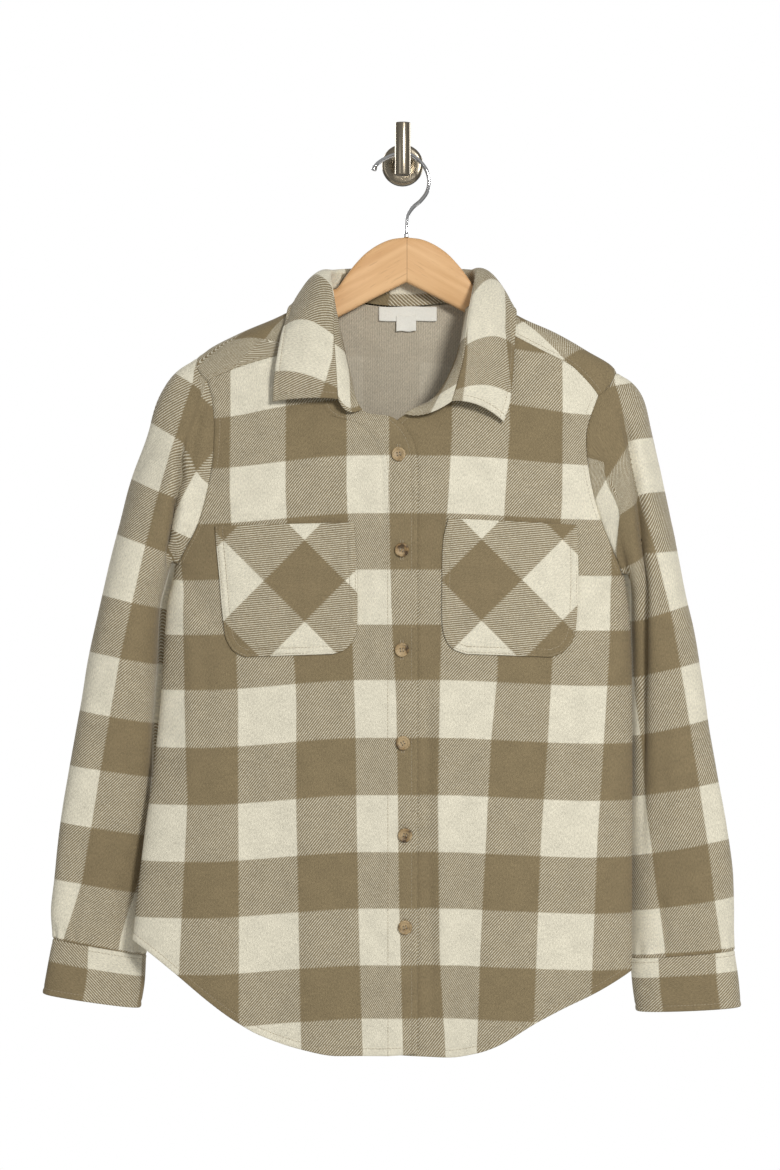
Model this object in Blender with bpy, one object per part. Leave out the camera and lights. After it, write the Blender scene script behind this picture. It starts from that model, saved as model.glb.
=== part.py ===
# A buttoned shirt jacket on a wooden hanger, hung on a round wall hook.
#
# Sizes are in millimetres and become metres when a mesh is made. The origin is the
# centre of the hook's back face, on the wall. X runs to the right as seen from the
# front, Y runs into the wall, and "drop" is the distance below the origin.
# Left and right are the wearer's, so the wearer's right front is the one at -X.

import math

import bmesh
import bpy
from mathutils import Matrix, Vector

METRES = 0.001

# Driving dimensions
CLOTH = 2.0
DOUBLED_CLOTH = 2.6
CUFF_CLOTH = 3.2
SEAM_GAP = 0.3
LAYER_STEP = CLOTH / 2 + SEAM_GAP + CLOTH / 2
SECTION_POWER = 2.6
SLEEVE_POWER = 2.3

PLACKET_EDGE = 14.0
PLACKET_WIDTH = 32.0
PLACKET_LIFT = 1.4
UNDER_EDGE = -14.0

UNDERARM_RIGHT = 387.0
UNDERARM_LEFT = 397.0
SIDE_END_RIGHT = 744.0
SIDE_END_LEFT = 773.0

SIDE_ROWS = 9
FRONT_ARM_ROWS = 8
BACK_ARM_ROWS = 5
PANEL_COLUMNS = 12
YOKE_FRONT_ROWS = 3
YOKE_BACK_ROWS = 5

BUTTON_DIAMETER = 13.5
BUTTON_THICK = 3.0
BUTTONS = ((-4, 283), (-1, 373), (-1, 467), (0, 555), (2, 642), (2, 729))

WOOD_THICK = 13.0
WOOD_APEX = (3.5, 73.0)
WIRE = 3.8
ROSETTE_DIAMETER = 40.0
ROSETTE_THICK = 10.0
POST_DIAMETER = 10.6
BAR_DIAMETER = 15.0
BAR_DEPTH = 55.0
BAR_TOP = -34.0
BAR_BOTTOM = 16.0

# The body is one flattened tube: its side lines, the depth of its middle, and how far
# the front and back stand off that middle
BODY = {
    "drop": (114, 122, 134, 151, 166, 182, 200, 230, 260, 325, 392, 425, 460, 546, 660, 760, 870),
    "right": (-56, -67, -88, -120, -155, -186, -204, -207, -209, -212, -216, -223, -226, -233, -247, -258, -268),
    "left": (56, 69, 87, 113, 146, 175, 202, 211, 211, 210, 210, 214, 217, 218, 218, 217, 213),
    "middle": (-36, -36, -36, -36.5, -37, -37.5, -38.5, -40, -41, -43, -44, -44, -44, -45, -48, -50, -50),
    "front": (15, 17, 19, 21, 23, 25, 27, 30, 33, 37, 37, 37, 36, 33, 30, 27, 25),
    "back": (14, 16, 18, 18.5, 19, 20, 22, 25, 28, 32, 34, 34, 34, 34, 36, 38, 37),
}

# Long soft folds: where across, the drops where each begins and is full, its half width and
# how far it stands out, which is negative for a hollow
FRONT_FOLDS = (
    (-185, 400, 640, 26, 2.0), (-128, 470, 760, 30, -2.4), (-62, 480, 800, 28, 2.6),
    (46, 330, 700, 24, -2.6), (88, 420, 760, 28, 3.0), (150, 450, 800, 28, -2.6), (192, 420, 700, 20, 2.2),
)
BACK_FOLDS = (
    (-170, 300, 640, 30, -2.6), (-108, 280, 700, 32, 3.4), (-38, 320, 760, 30, -3.0),
    (34, 300, 740, 30, 3.2), (102, 280, 700, 32, -2.8), (166, 320, 660, 28, 2.8),
)

# Hem heights from the placket to the side
HEM_RIGHT = {
    "x": (14, -20, -60, -95, -134, -160, -185, -214, -240, -257),
    "drop": (849, 851, 851, 845, 832, 817, 799, 776, 756, 744),
}
HEM_LEFT = {
    "x": (-14, 20, 45, 70, 90, 126, 155, 178, 200, 217),
    "drop": (850, 852, 853, 849, 842, 821, 806, 795, 783, 773),
}
HEM_BACK = {
    "x": (-257, -240, -214, -160, -95, -20, 60, 110, 155, 190, 217),
    "drop": (744, 753, 770, 808, 836, 844, 845, 832, 809, 787, 773),
}

# The front edges above the chest, from the underarm's height to the shoulder seam
EDGE_RIGHT = ((14, 400), (14, 345), (14, 298), (9, 268), (-9, 248), (-39, 240), (-50, 206), (-58, 172))
EDGE_LEFT = ((-14, 405), (-14, 345), (-14, 290), (-9, 256), (4, 243), (31, 228), (51, 190), (60, 143))

# Armholes, from the underarm up to the shoulder seam on the front, and to the yoke on the back
ARMHOLE_RIGHT = ((-214, 387), (-206, 372), (-193, 345), (-182, 300), (-179, 261), (-181, 231), (-186, 212))
ARMHOLE_LEFT = ((209, 397), (201, 377), (190, 350), (181, 321), (175, 286), (175, 258), (186, 226))
ARMHOLE_BACK_RIGHT = ((-214, 387), (-206, 368), (-198, 335), (-194, 295), (-193, 258))
ARMHOLE_BACK_LEFT = ((209, 397), (201, 375), (195, 340), (193, 300), (194, 265))

# Sleeve sections from the armhole to the cuff: inner line, outer line, depth of the middle
# and half the depth
SLEEVE_RIGHT = {
    "along": (0, 0.6, 1.2, 2, 3, 4, 5, 6.2, 7.4, 8.6, 9.8, 11, 12, 13),
    "inner x": (-215, -219, -221.5, -223, -225, -228, -233, -236, -240, -241, -243, -246, -247, -248),
    "inner drop": (386, 385, 387, 391, 397, 406, 427, 480, 537, 591, 647, 700, 735, 762),
    "outer x": (-204, -224, -238, -248, -261, -274, -287, -298, -308, -318, -327, -333, -336, -334),
    "outer drop": (191, 205, 230, 267, 307, 362, 417, 468, 526, 581, 634, 688, 721, 745),
    "inner y": (-44, -44, -43, -42, -41, -40, -38, -35, -31, -26, -20, -16, -14.5, -14),
    "outer y": (-38.5, -39, -40, -41, -41, -41, -41, -40, -38, -35, -32, -30, -29, -29),
    "half depth": (25, 27, 29, 31, 32, 32, 31, 28, 25, 22, 18, 16, 15, 15),
}
SLEEVE_LEFT = {
    "along": (0, 0.6, 1.2, 2, 3, 4, 5, 6.2, 7.4, 8.6, 9.8, 11, 12, 13),
    "inner x": (210, 213.5, 216, 217.5, 219, 220, 220.5, 221, 221, 221, 221, 221, 221, 220),
    "inner drop": (396, 395, 397, 401, 407, 415, 430, 480, 537, 591, 646, 699, 738, 764),
    "outer x": (208, 222, 233, 241, 250, 260, 269, 281, 290, 299, 309, 316, 317, 317),
    "outer drop": (207, 215, 230, 264, 308, 361, 413, 468, 526, 581, 634, 688, 724, 756),
    "inner y": (-44, -44, -43, -42, -40, -37, -33, -28, -26, -25, -24, -24, -24, -24),
    "outer y": (-38.5, -39, -40, -41, -41, -41, -41, -40, -39, -37, -35, -33, -32, -31),
    "half depth": (25, 27, 29, 31, 32, 31, 29, 26, 24, 22, 21, 20, 19.5, 19),
}
SLEEVE_SECTIONS = 17
ELBOW_SECTION = 10
RIGHT_CUFF = {
    "along": (0, 0.5, 1),
    "inner x": (-248, -250, -254),
    "inner drop": (762, 788, 813),
    "outer x": (-334, -339.5, -344),
    "outer drop": (745, 772, 798),
    "inner y": (-14, -14.5, -15.5),
    "outer y": (-29, -29, -29),
    "half depth": (15, 16, 16.5),
}
LEFT_CUFF = {
    "along": (0, 0.5, 1),
    "inner x": (220, 222, 226),
    "inner drop": (764, 790, 815),
    "outer x": (317, 321, 323),
    "outer drop": (756, 783, 810),
    "inner y": (-24, -24, -24),
    "outer y": (-31, -31, -31),
    "half depth": (19, 20, 20.5),
}

# The collar, from the wearer's right front round the back to the left front. The stand
# rises from the neckline over a roll to its seam, and the leaf falls from there to its edge
COLLAR_COLUMNS = ("face", "neck", "roll", "seam", "fall", "edge")
COLLAR = (
    ("front", (-39, 241), (-54, -83, 249), (-61, -85, 231), (-90, -90, 228), (-123, -78, 233)),
    ("front", (-49, 208), (-50, -79, 206), (-63, -85, 199), (-88, -88, 194), (-121, -75, 209)),
    ("front", (-56, 181), (-57, -75, 176), (-65, -80, 168), (-88, -82, 161), (-117, -70, 184)),
    ("front", (-62, 155), (-62, -66, 148), (-65, -70, 138), (-83, -70, 126), (-113, -60, 162)),
    ("ridge", (-78, 128), (-73, -42, 119), (-69, -43, 110), (-85, -42, 99), (-106, -37, 140)),
    ("back", (-67, 131), (-64, -24, 119), (-61, -23, 107), (-73, -16, 91), (-96, -16, 147)),
    ("back", (-46, 134.5), (-43, -20, 119), (-41, -20, 106), (-48, -9, 87), (-70, -9, 155)),
    ("back", (0, 139), (0, -18, 121), (0, -19, 104), (0, -9, 85), (0, -8, 163)),
    ("back", (44, 135.5), (42, -20, 119), (41, -20, 106), (48, -9, 87), (70, -9, 156)),
    ("back", (65, 131.5), (64, -24, 119), (61, -23, 107), (73, -16, 91), (96, -16, 148)),
    ("ridge", (76, 128), (74, -42, 119), (69, -43, 109), (86, -42, 99), (106, -37, 142)),
    ("front", (58, 160), (59, -70, 156), (62, -75, 152), (84, -76, 142), (106, -63, 180)),
    ("front", (50, 195), (51, -78, 192), (58, -83, 187), (82, -85, 182), (104, -72, 212)),
    ("front", (31, 228), (35, -80, 222), (52, -86, 212), (76, -89, 208), (101, -77, 235)),
    ("front", (0, 243.5), (20, -82, 251), (46, -87, 233), (72, -90, 231), (95, -79, 252)),
)
COLLAR_STEPS = 28
NECK_LIFT = 4.0
LEAF_LIFT = 5.0
STAND_STEPS = 5
LEAF_STEPS = 7

# Pocket outlines from the top edge down to the rounded bottom
POCKET_RIGHT = (
    ((-177, 350), (-46, 347)),
    ((-176, 368), (-44.5, 368)),
    ((-173, 400), (-43, 400)),
    ((-170, 436), (-43, 443)),
    ((-167.5, 455), (-47, 458)),
    ((-160, 468), (-55, 467)),
    ((-149, 474), (-66, 471)),
)
POCKET_LEFT = (
    ((43, 343), (164, 349)),
    ((38, 365), (165, 368)),
    ((37, 400), (165.5, 400)),
    ((37, 440), (164, 440)),
    ((40, 456), (161, 457)),
    ((47, 466), (152, 469)),
    ((60, 471), (140, 474)),
)

# The hanger's edges inside the neck, by distance from its middle
WOOD_NECK = {
    "x": (0, 12, 24, 38, 50, 58, 66),
    "top": (73, 74.3, 78.5, 87.5, 100, 110.5, 122.5),
}
WOOD_UNDER = {
    "x": (0, 30, 62, 100, 150, 196),
    "bottom": (116, 131, 148, 167, 188, 208),
}
WOOD_END = 196.0
WOOD_BELOW_RIDGE = 2.9

# The hanger's hook, as a bent rod from its free end to the wood
HOOK_ROUTE = (
    (-28, 9), (-25.5, 3.5), (-19, -1.5), (-10, -5.8), (0, -7.6), (9, -5.6), (17, 0.5), (23, 9),
    (25.5, 19), (23.5, 29), (17.5, 37.5), (10, 44), (5.2, 51), (3.8, 60), (3.5, 66), (3.5, 72.7),
)
HOOK_DEPTH = -33.0


def clear_scene():
    for thing in list(bpy.data.objects):
        bpy.data.objects.remove(thing, do_unlink=True)


def make_material(name, colour, roughness, metallic=0.0):
    material = bpy.data.materials.new(name)
    material.use_nodes = True
    shader = material.node_tree.nodes["Principled BSDF"]
    shader.inputs["Base Color"].default_value = (*colour, 1.0)
    shader.inputs["Roughness"].default_value = roughness
    shader.inputs["Metallic"].default_value = metallic
    return material


def finish_object(name, mesh_builder, material):
    """Turn a bmesh in millimetres into an object in metres."""
    bmesh.ops.scale(mesh_builder, vec=(METRES, METRES, METRES), verts=mesh_builder.verts)
    bmesh.ops.recalc_face_normals(mesh_builder, faces=mesh_builder.faces)
    if mesh_builder.calc_volume(signed=True) < 0:
        bmesh.ops.reverse_faces(mesh_builder, faces=mesh_builder.faces)
    mesh = bpy.data.meshes.new(name)
    mesh_builder.to_mesh(mesh)
    mesh_builder.free()
    mesh.shade_smooth()
    mesh.set_sharp_from_angle(angle=math.radians(40))
    mesh.materials.append(material)
    thing = bpy.data.objects.new(name, mesh)
    bpy.context.collection.objects.link(thing)
    return thing


def smooth_read(places, values, place):
    """Read a table column at any place along it, on a smooth curve through its rows."""
    if place <= places[0]:
        return values[0]
    if place >= places[-1]:
        return values[-1]
    row = max(i for i in range(len(places) - 1) if places[i] <= place)
    slopes = [
        (values[i + 1] - values[i]) / (places[i + 1] - places[i]) for i in range(len(places) - 1)
    ]

    def tangent(i):
        if i == 0:
            return slopes[0]
        if i == len(places) - 1:
            return slopes[-1]
        if slopes[i - 1] * slopes[i] <= 0:
            return 0.0
        return 2 * slopes[i - 1] * slopes[i] / (slopes[i - 1] + slopes[i])

    span = places[row + 1] - places[row]
    t = (place - places[row]) / span
    start, end = values[row], values[row + 1]
    return (
        start * (1 + 2 * t) * (1 - t) ** 2
        + end * t * t * (3 - 2 * t)
        + span * t * (1 - t) ** 2 * tangent(row)
        - span * t * t * (1 - t) * tangent(row + 1)
    )


def read(table, key, column, place):
    return smooth_read(table[key], table[column], place)


def curve_through(points, t):
    """A point at t from 0 to 1 on the smooth curve through the points."""
    last = len(points) - 1
    place = min(max(t, 0.0), 1.0) * last
    i = min(int(place), last - 1)
    f = place - i
    before = points[max(i - 1, 0)]
    after = points[min(i + 2, last)]
    made = []
    for a, b, c, d in zip(before, points[i], points[i + 1], after):
        made.append(
            0.5 * (2 * b + (c - a) * f + (2 * a - 5 * b + 4 * c - d) * f * f + (3 * b - a - 3 * c + d) * f ** 3)
        )
    return tuple(made)


def mix(a, b, t):
    return tuple(p + (q - p) * t for p, q in zip(a, b))


def ease(start, end, value):
    t = min(max((value - start) / (end - start), 0.0), 1.0)
    return t * t * (3 - 2 * t)


# The body tube. "turn" is 0 at the wearer's right side, 1 at the centre front, 2 at the
# left side and 3, or -1, at the centre back


def section_height(across, power):
    return max(1.0 - abs(across) ** power, 0.0) ** (1.0 / power)


def folds_at(folds, x, drop):
    total = 0.0
    for place, begins, full, half_width, height in folds:
        total += height * ease(begins, full, drop) * math.exp(-(((x - place) / half_width) ** 2))
    return total


def body_point(turn, drop):
    right = read(BODY, "drop", "right", drop)
    left = read(BODY, "drop", "left", drop)
    across = -math.cos(turn * math.pi / 2)
    x = (right + left) / 2 + (left - right) / 2 * across
    in_front = math.sin(turn * math.pi / 2) > 0
    stand_off = read(BODY, "drop", "front" if in_front else "back", drop)
    height = section_height(across, SECTION_POWER)
    stand_off += folds_at(FRONT_FOLDS if in_front else BACK_FOLDS, x, drop)
    height *= stand_off
    y = read(BODY, "drop", "middle", drop) + (-height if in_front else height)
    return Vector((x, y, -drop))


def body_normal(turn, drop):
    step = 0.02
    along = body_point(turn + step, drop) - body_point(turn - step, drop)
    down = body_point(turn, drop + 2.0) - body_point(turn, drop - 2.0)
    return down.cross(along).normalized()


def clear_of_body(point, clearance):
    """Move a point out until it stands at least this far off the body's surface."""
    drop = -point.z
    right = read(BODY, "drop", "right", drop)
    left = read(BODY, "drop", "left", drop)
    aside = (2 * point.x - right - left) / (left - right)
    depth = point.y - read(BODY, "drop", "middle", drop)
    stand_off = read(BODY, "drop", "front" if depth < 0 else "back", drop)
    ahead = abs(depth) / stand_off
    size = (abs(aside) ** SECTION_POWER + ahead ** SECTION_POWER) ** (1 / SECTION_POWER)
    turn = math.acos(min(max(-aside / size, -1.0), 1.0)) / (math.pi / 2)
    turn = turn if depth < 0 else -turn
    normal = body_normal(turn, drop)
    off = (point - body_point(turn, drop)).dot(normal)
    return point + normal * max(clearance - off, 0.0)


def turn_at(x, drop, front=True):
    right = read(BODY, "drop", "right", drop)
    left = read(BODY, "drop", "left", drop)
    across = (2 * x - right - left) / (left - right)
    turn = math.acos(min(max(-across, -1.0), 1.0)) / (math.pi / 2)
    return turn if front else -turn


def on_body(x, drop, front=True):
    return (turn_at(x, drop, front), drop)


def ridge_drop(x):
    """How far down the shoulder's ridge is at this x."""
    column = "right" if x < 0 else "left"
    low, high = BODY["drop"][0], 210.0
    for _ in range(30):
        middle = (low + high) / 2
        if abs(read(BODY, "drop", column, middle)) < abs(x):
            low = middle
        else:
            high = middle
    return low


def placket_lift(turn, drop, top_layer):
    """How far a front stands off the body where the two fronts lap over each other."""
    x = body_point(turn, drop).x
    if top_layer:
        return PLACKET_LIFT * ease(PLACKET_EDGE - PLACKET_WIDTH - 25, PLACKET_EDGE - PLACKET_WIDTH, x)
    return -PLACKET_LIFT * ease(UNDER_EDGE + PLACKET_WIDTH + 25, UNDER_EDGE + PLACKET_WIDTH, x)


def cloth_wall(name, grid, material, thickness, closed=False):
    """A wall of cloth round a grid of (middle point, outward direction) pairs."""
    builder = bmesh.new()
    outer = [[builder.verts.new(p + n * thickness / 2) for p, n in row] for row in grid]
    inner = [[builder.verts.new(p - n * thickness / 2) for p, n in row] for row in grid]
    rows, columns = len(grid), len(grid[0])
    across = columns if closed else columns - 1
    for r in range(rows - 1):
        for c in range(across):
            d = (c + 1) % columns
            builder.faces.new((outer[r][c], outer[r][d], outer[r + 1][d], outer[r + 1][c]))
            builder.faces.new((inner[r + 1][c], inner[r + 1][d], inner[r][d], inner[r][c]))
    for c in range(across):
        d = (c + 1) % columns
        builder.faces.new((inner[0][c], inner[0][d], outer[0][d], outer[0][c]))
        builder.faces.new((outer[-1][c], outer[-1][d], inner[-1][d], inner[-1][c]))
    if not closed:
        for r in range(rows - 1):
            builder.faces.new((outer[r][0], outer[r + 1][0], inner[r + 1][0], inner[r][0]))
            builder.faces.new((inner[r][-1], inner[r + 1][-1], outer[r + 1][-1], outer[r][-1]))
    return finish_object(name, builder, material)


def pull_in_border(grid, distance, sides):
    """Move the named borders of a grid inwards, to leave room at a seam."""
    moved = [list(row) for row in grid]
    last_row, last_column = len(grid) - 1, len(grid[0]) - 1

    def pull(r, c, r_next, c_next):
        point, normal = moved[r][c]
        if r_next != r:
            border = grid[r][min(c + 1, last_column)][0] - grid[r][max(c - 1, 0)][0]
        else:
            border = grid[min(r + 1, last_row)][c][0] - grid[max(r - 1, 0)][c][0]
        border.normalize()
        towards = grid[r_next][c_next][0] - grid[r][c][0]
        towards = (towards - border * towards.dot(border)).normalized()
        moved[r][c] = (point + towards * distance, normal)

    for c in range(last_column + 1):
        if "first row" in sides:
            pull(0, c, 1, c)
        if "last row" in sides:
            pull(last_row, c, last_row - 1, c)
    for r in range(last_row + 1):
        if "first column" in sides:
            pull(r, 0, r, 1)
        if "last column" in sides:
            pull(r, last_column, r, last_column - 1)
    return moved


def body_grid(domain, lift=None):
    """Middle points and outward directions for a grid of (turn, drop) places on the body."""
    grid = []
    for row in domain:
        made = []
        for turn, drop in row:
            normal = body_normal(turn, drop)
            point = body_point(turn, drop)
            if lift:
                point = point + normal * lift(turn, drop)
            made.append((point, normal))
        grid.append(made)
    return grid


# Fronts


def side_place(side_turn, side_end, underarm, row):
    return (side_turn, side_end + (underarm - side_end) * row / SIDE_ROWS)


def armhole_place(points, t, front=True):
    if t <= 0:
        x, drop = points[0]
        side = 0.0 if x < 0 else (2.0 if front else -2.0)
        return (side, drop)
    x, drop = curve_through(points, t)
    return on_body(x, drop, front)


def front_domain(edge, edge_x, hem, armhole, side_turn, side_end):
    """Places of a front panel: rows from the hem up, columns from the front edge to the side."""
    underarm = armhole[0][1]
    hem_drop = hem["drop"][0]
    rows = []
    for r in range(SIDE_ROWS + 1):
        drop = hem_drop + (edge[0][1] - hem_drop) * r / SIDE_ROWS
        rows.append((on_body(edge_x, drop), side_place(side_turn, side_end, underarm, r)))
    for r in range(1, FRONT_ARM_ROWS + 1):
        t = r / FRONT_ARM_ROWS
        rows.append((on_body(*curve_through(edge, t)), armhole_place(armhole, t)))
    domain = []
    for r, (start, end) in enumerate(rows):
        hem_share = max(1.0 - r / SIDE_ROWS, 0.0)
        made = []
        for c in range(PANEL_COLUMNS + 1):
            t = c / PANEL_COLUMNS
            turn, drop = mix(start, end, t)
            if hem_share > 0:
                hem_turn, _ = mix(rows[0][0], rows[0][1], t)
                hem_x = body_point(hem_turn, mix(rows[0][0], rows[0][1], t)[1]).x
                wanted = smooth_read([abs(x - edge_x) for x in hem["x"]], hem["drop"], abs(hem_x - edge_x))
                straight = mix(rows[0][0], rows[0][1], t)[1]
                drop += (wanted - straight) * hem_share
            made.append((turn, drop))
        domain.append(made)
    return domain


def build_fronts(cloth):
    right = front_domain(EDGE_RIGHT, PLACKET_EDGE, HEM_RIGHT, ARMHOLE_RIGHT, 0.0, SIDE_END_RIGHT)
    left = front_domain(EDGE_LEFT, UNDER_EDGE, HEM_LEFT, ARMHOLE_LEFT, 2.0, SIDE_END_LEFT)
    made = (("right_front", right, True), ("left_front", left, False))
    for name, domain, top_layer in made:
        grid = body_grid(domain, lambda turn, drop: placket_lift(turn, drop, top_layer))
        grid = pull_in_border(grid, SEAM_GAP / 2, ("last row", "last column"))
        cloth_wall(name, grid, cloth, CLOTH)
    return right, left


# Yoke and back


def yoke_stations():
    """Inner and outer places of the yoke, from the right front seam round the back to the left."""
    back_right = ARMHOLE_BACK_RIGHT[-1]
    back_left = ARMHOLE_BACK_LEFT[-1]
    inner = [
        on_body(*EDGE_RIGHT[-1]),
        (0.0, 128.0),
        on_body(-50, 134, False),
        (-1.0, 139.0),
        on_body(48, 135, False),
        (-2.0, 128.5),
        (turn_at(*EDGE_LEFT[-1]) - 4.0, EDGE_LEFT[-1][1]),
    ]
    outer = [
        on_body(*ARMHOLE_RIGHT[-1]),
        (0.0, 191.0),
        on_body(*back_right, False),
        (-1.0, 268.0),
        on_body(*back_left, False),
        (-2.0, 205.0),
        (turn_at(*ARMHOLE_LEFT[-1]) - 4.0, ARMHOLE_LEFT[-1][1]),
    ]
    return inner, outer


def yoke_domain():
    inner, outer = yoke_stations()
    counts = (YOKE_FRONT_ROWS, YOKE_BACK_ROWS, PANEL_COLUMNS, PANEL_COLUMNS, YOKE_BACK_ROWS, YOKE_FRONT_ROWS)
    places = []
    for station, count in enumerate(counts):
        for step in range(count):
            share = step / count
            if station in (0, 4):
                share = 1 - (1 - share) ** 1.5
            if station in (1, 5):
                share = share ** 1.5
            places.append((station + share) / len(counts))
    places.append(1.0)
    domain = []
    for t in places:
        start = curve_through(inner, t)
        end = curve_through(outer, t)
        domain.append([mix(start, end, c / PANEL_COLUMNS) for c in range(PANEL_COLUMNS + 1)])
    return domain


def build_yoke(cloth):
    domain = yoke_domain()
    grid = pull_in_border(body_grid(domain), SEAM_GAP / 2, ("first row", "last row", "last column"))
    cloth_wall("yoke", grid, cloth, CLOTH)
    return domain


def back_domain(yoke):
    """Places of the back panel: rows from the hem up, columns from the right side to the left."""
    first = YOKE_FRONT_ROWS + YOKE_BACK_ROWS
    top = [row[-1] for row in yoke[first : first + 2 * PANEL_COLUMNS + 1]]
    columns = 2 * PANEL_COLUMNS
    rows = []
    for r in range(SIDE_ROWS + 1):
        right = side_place(0.0, SIDE_END_RIGHT, UNDERARM_RIGHT, r)
        left = side_place(-2.0, SIDE_END_LEFT, UNDERARM_LEFT, r)
        rows.append((right, left))
    for r in range(1, BACK_ARM_ROWS + 1):
        t = r / BACK_ARM_ROWS
        right = armhole_place(ARMHOLE_BACK_RIGHT, t, False)
        left = armhole_place(ARMHOLE_BACK_LEFT, t, False)
        rows.append((right, left))
    hem_x = [x - HEM_BACK["x"][0] for x in HEM_BACK["x"]]
    domain = []
    for r, (start, end) in enumerate(rows):
        hem_share = max(1.0 - r / SIDE_ROWS, 0.0)
        top_share = max((r - SIDE_ROWS) / BACK_ARM_ROWS, 0.0)
        made = []
        for c in range(columns + 1):
            t = c / columns
            turn, drop = mix(start, end, t)
            hem_turn, straight = mix(rows[0][0], rows[0][1], t)
            x = body_point(hem_turn, straight).x - HEM_BACK["x"][0]
            drop += (smooth_read(hem_x, HEM_BACK["drop"], x) - straight) * hem_share
            straight_top = mix(top[0], top[-1], t)
            turn += (top[c][0] - straight_top[0]) * top_share
            drop += (top[c][1] - straight_top[1]) * top_share
            made.append((turn, drop))
        domain.append(made)
    return domain


def build_back(cloth, yoke):
    domain = back_domain(yoke)
    sides = ("last row", "first column", "last column")
    grid = pull_in_border(body_grid(domain), SEAM_GAP / 2, sides)
    cloth_wall("back", grid, cloth, CLOTH)
    return domain


# Sleeves and cuffs


def section_frame(table, along):
    """The inner and outer ends of a sleeve's section, and half its depth."""
    ends = []
    for side in ("inner", "outer"):
        x = read(table, "along", side + " x", along)
        y = read(table, "along", side + " y", along)
        drop = read(table, "along", side + " drop", along)
        ends.append(Vector((x, y, -drop)))
    return ends[0], ends[1], read(table, "along", "half depth", along)


def section_point(table, along, angle):
    """A point round a sleeve: 0 is the underarm side, a half turn is the outer side."""
    inner, outer, half = section_frame(table, along)
    across = -math.cos(angle)
    point = (inner + outer) / 2 + (outer - inner) / 2 * across
    height = section_height(across, SLEEVE_POWER) * half
    point.y += -height if math.sin(angle) > 0 else height
    return point


def section_centre(table, along):
    inner, outer, _ = section_frame(table, along)
    return (inner + outer) / 2


def armhole_ring(front, yoke, back, right_side):
    """The body's places round one armhole, from the underarm up the front and down the back."""
    up_front = [row[-1] for row in front[SIDE_ROWS:]]
    outer = [row[-1] for row in yoke]
    count = YOKE_FRONT_ROWS + YOKE_BACK_ROWS
    over = outer[1 : count + 1] if right_side else outer[-2 : -count - 2 : -1]
    column = 0 if right_side else -1
    down_back = [row[column] for row in back[-2 : SIDE_ROWS : -1]]
    return up_front + over + down_back


def sleeve_start(places, shares, right_side):
    """The sleeve's first ring, a seam gap beyond the armhole. At the underarm it starts above
    the side seam with its right side down, because it folds over there to hang beside it."""
    start = []
    count = len(places)
    for i, (point, body_side) in enumerate(places):
        round_it = (places[(i + 1) % count][0] - places[i - 1][0]).normalized()
        away = body_side.cross(round_it).normalized() * (1 if right_side else -1)
        fold = 1.0 - ease(0.0, 0.3, shares[i])
        normal = (body_side * (1 - fold) + Vector((0, 0, -1)) * fold).normalized()
        step = SEAM_GAP / 2 + CLOTH / 2 * abs(normal.dot(away)) + 0.5 * fold
        start.append((point + away * step, normal))
    return start


def sleeve_grid(table, ring, right_side):
    places = [(body_point(*place), body_normal(*place)) for place in ring]
    count = len(places)
    inner, outer, _ = section_frame(table, 0)
    chord = outer - inner
    top = FRONT_ARM_ROWS + YOKE_FRONT_ROWS
    shares = [min(max((point - inner).dot(chord) / chord.length_squared, 0.0), 1.0) for point, _ in places]
    shares[0] = 0.0
    shares[top] = 1.0
    angles = [math.acos(1 - 2 * share) for share in shares]
    angles = [angle if i <= top else 2 * math.pi - angle for i, angle in enumerate(angles)]
    start = sleeve_start(places, shares, right_side)
    offsets = [point - section_point(table, 0, angle) for (point, _), angle in zip(start, angles)]
    length = table["along"][-1]

    def at(along, i):
        fade = 1.0 - ease(0.0, 4.5, along)
        return section_point(table, along, angles[i % count]) + offsets[i % count] * fade

    grid = [start]
    for step in range(1, SLEEVE_SECTIONS + 1):
        along = length * (step / SLEEVE_SECTIONS) ** 1.3
        row = []
        for i in range(count):
            down = at(min(along + 0.1, length), i) - at(along - 0.1, i)
            round_it = at(along, i + 1) - at(along, i - 1)
            normal = round_it.cross(down).normalized()
            if normal.dot(at(along, i) - section_centre(table, along)) < 0:
                normal.negate()
            row.append((at(along, i), normal))
        grid.append(row)
    return grid


def build_sleeve(side, table, ring, right_side, cloth):
    """The sleeve as two lengths that meet at the elbow, so that collision follows its hollow."""
    grid = sleeve_grid(table, ring, right_side)
    upper = grid[: ELBOW_SECTION + 1]
    lower = grid[ELBOW_SECTION:]
    start = []
    for (point, normal), (ahead, _) in zip(lower[0], lower[1]):
        start.append((point + (ahead - point).normalized() * SEAM_GAP, normal))
    cloth_wall(side + "_upper_sleeve", upper, cloth, CLOTH, closed=True)
    cloth_wall(side + "_lower_sleeve", [start] + lower[1:], cloth, CLOTH, closed=True)


def build_cuff(name, table, cloth):
    count = 22
    grid = []
    start = SEAM_GAP / 52
    for step in range(4):
        along = start + (1 - start) * step / 3
        row = []
        for i in range(count):
            angle = 2 * math.pi * i / count
            point = section_point(table, along, angle)
            row.append((point, (point - section_centre(table, along)).normalized()))
        grid.append(row)
    cloth_wall(name, grid, cloth, CUFF_CLOTH, closed=True)


# Collar


def collar_section(t):
    """The collar's section at t: neck point, its outward direction, roll, seam, fall and edge."""
    columns = {}
    for index, column in enumerate(COLLAR_COLUMNS):
        if column != "face":
            columns[column] = curve_through([row[index] for row in COLLAR], t)
    vectors = {}
    for column in ("roll", "seam", "fall", "edge"):
        x, y, drop = columns[column]
        vectors[column] = Vector((x, y, -drop))
    return vectors


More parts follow.
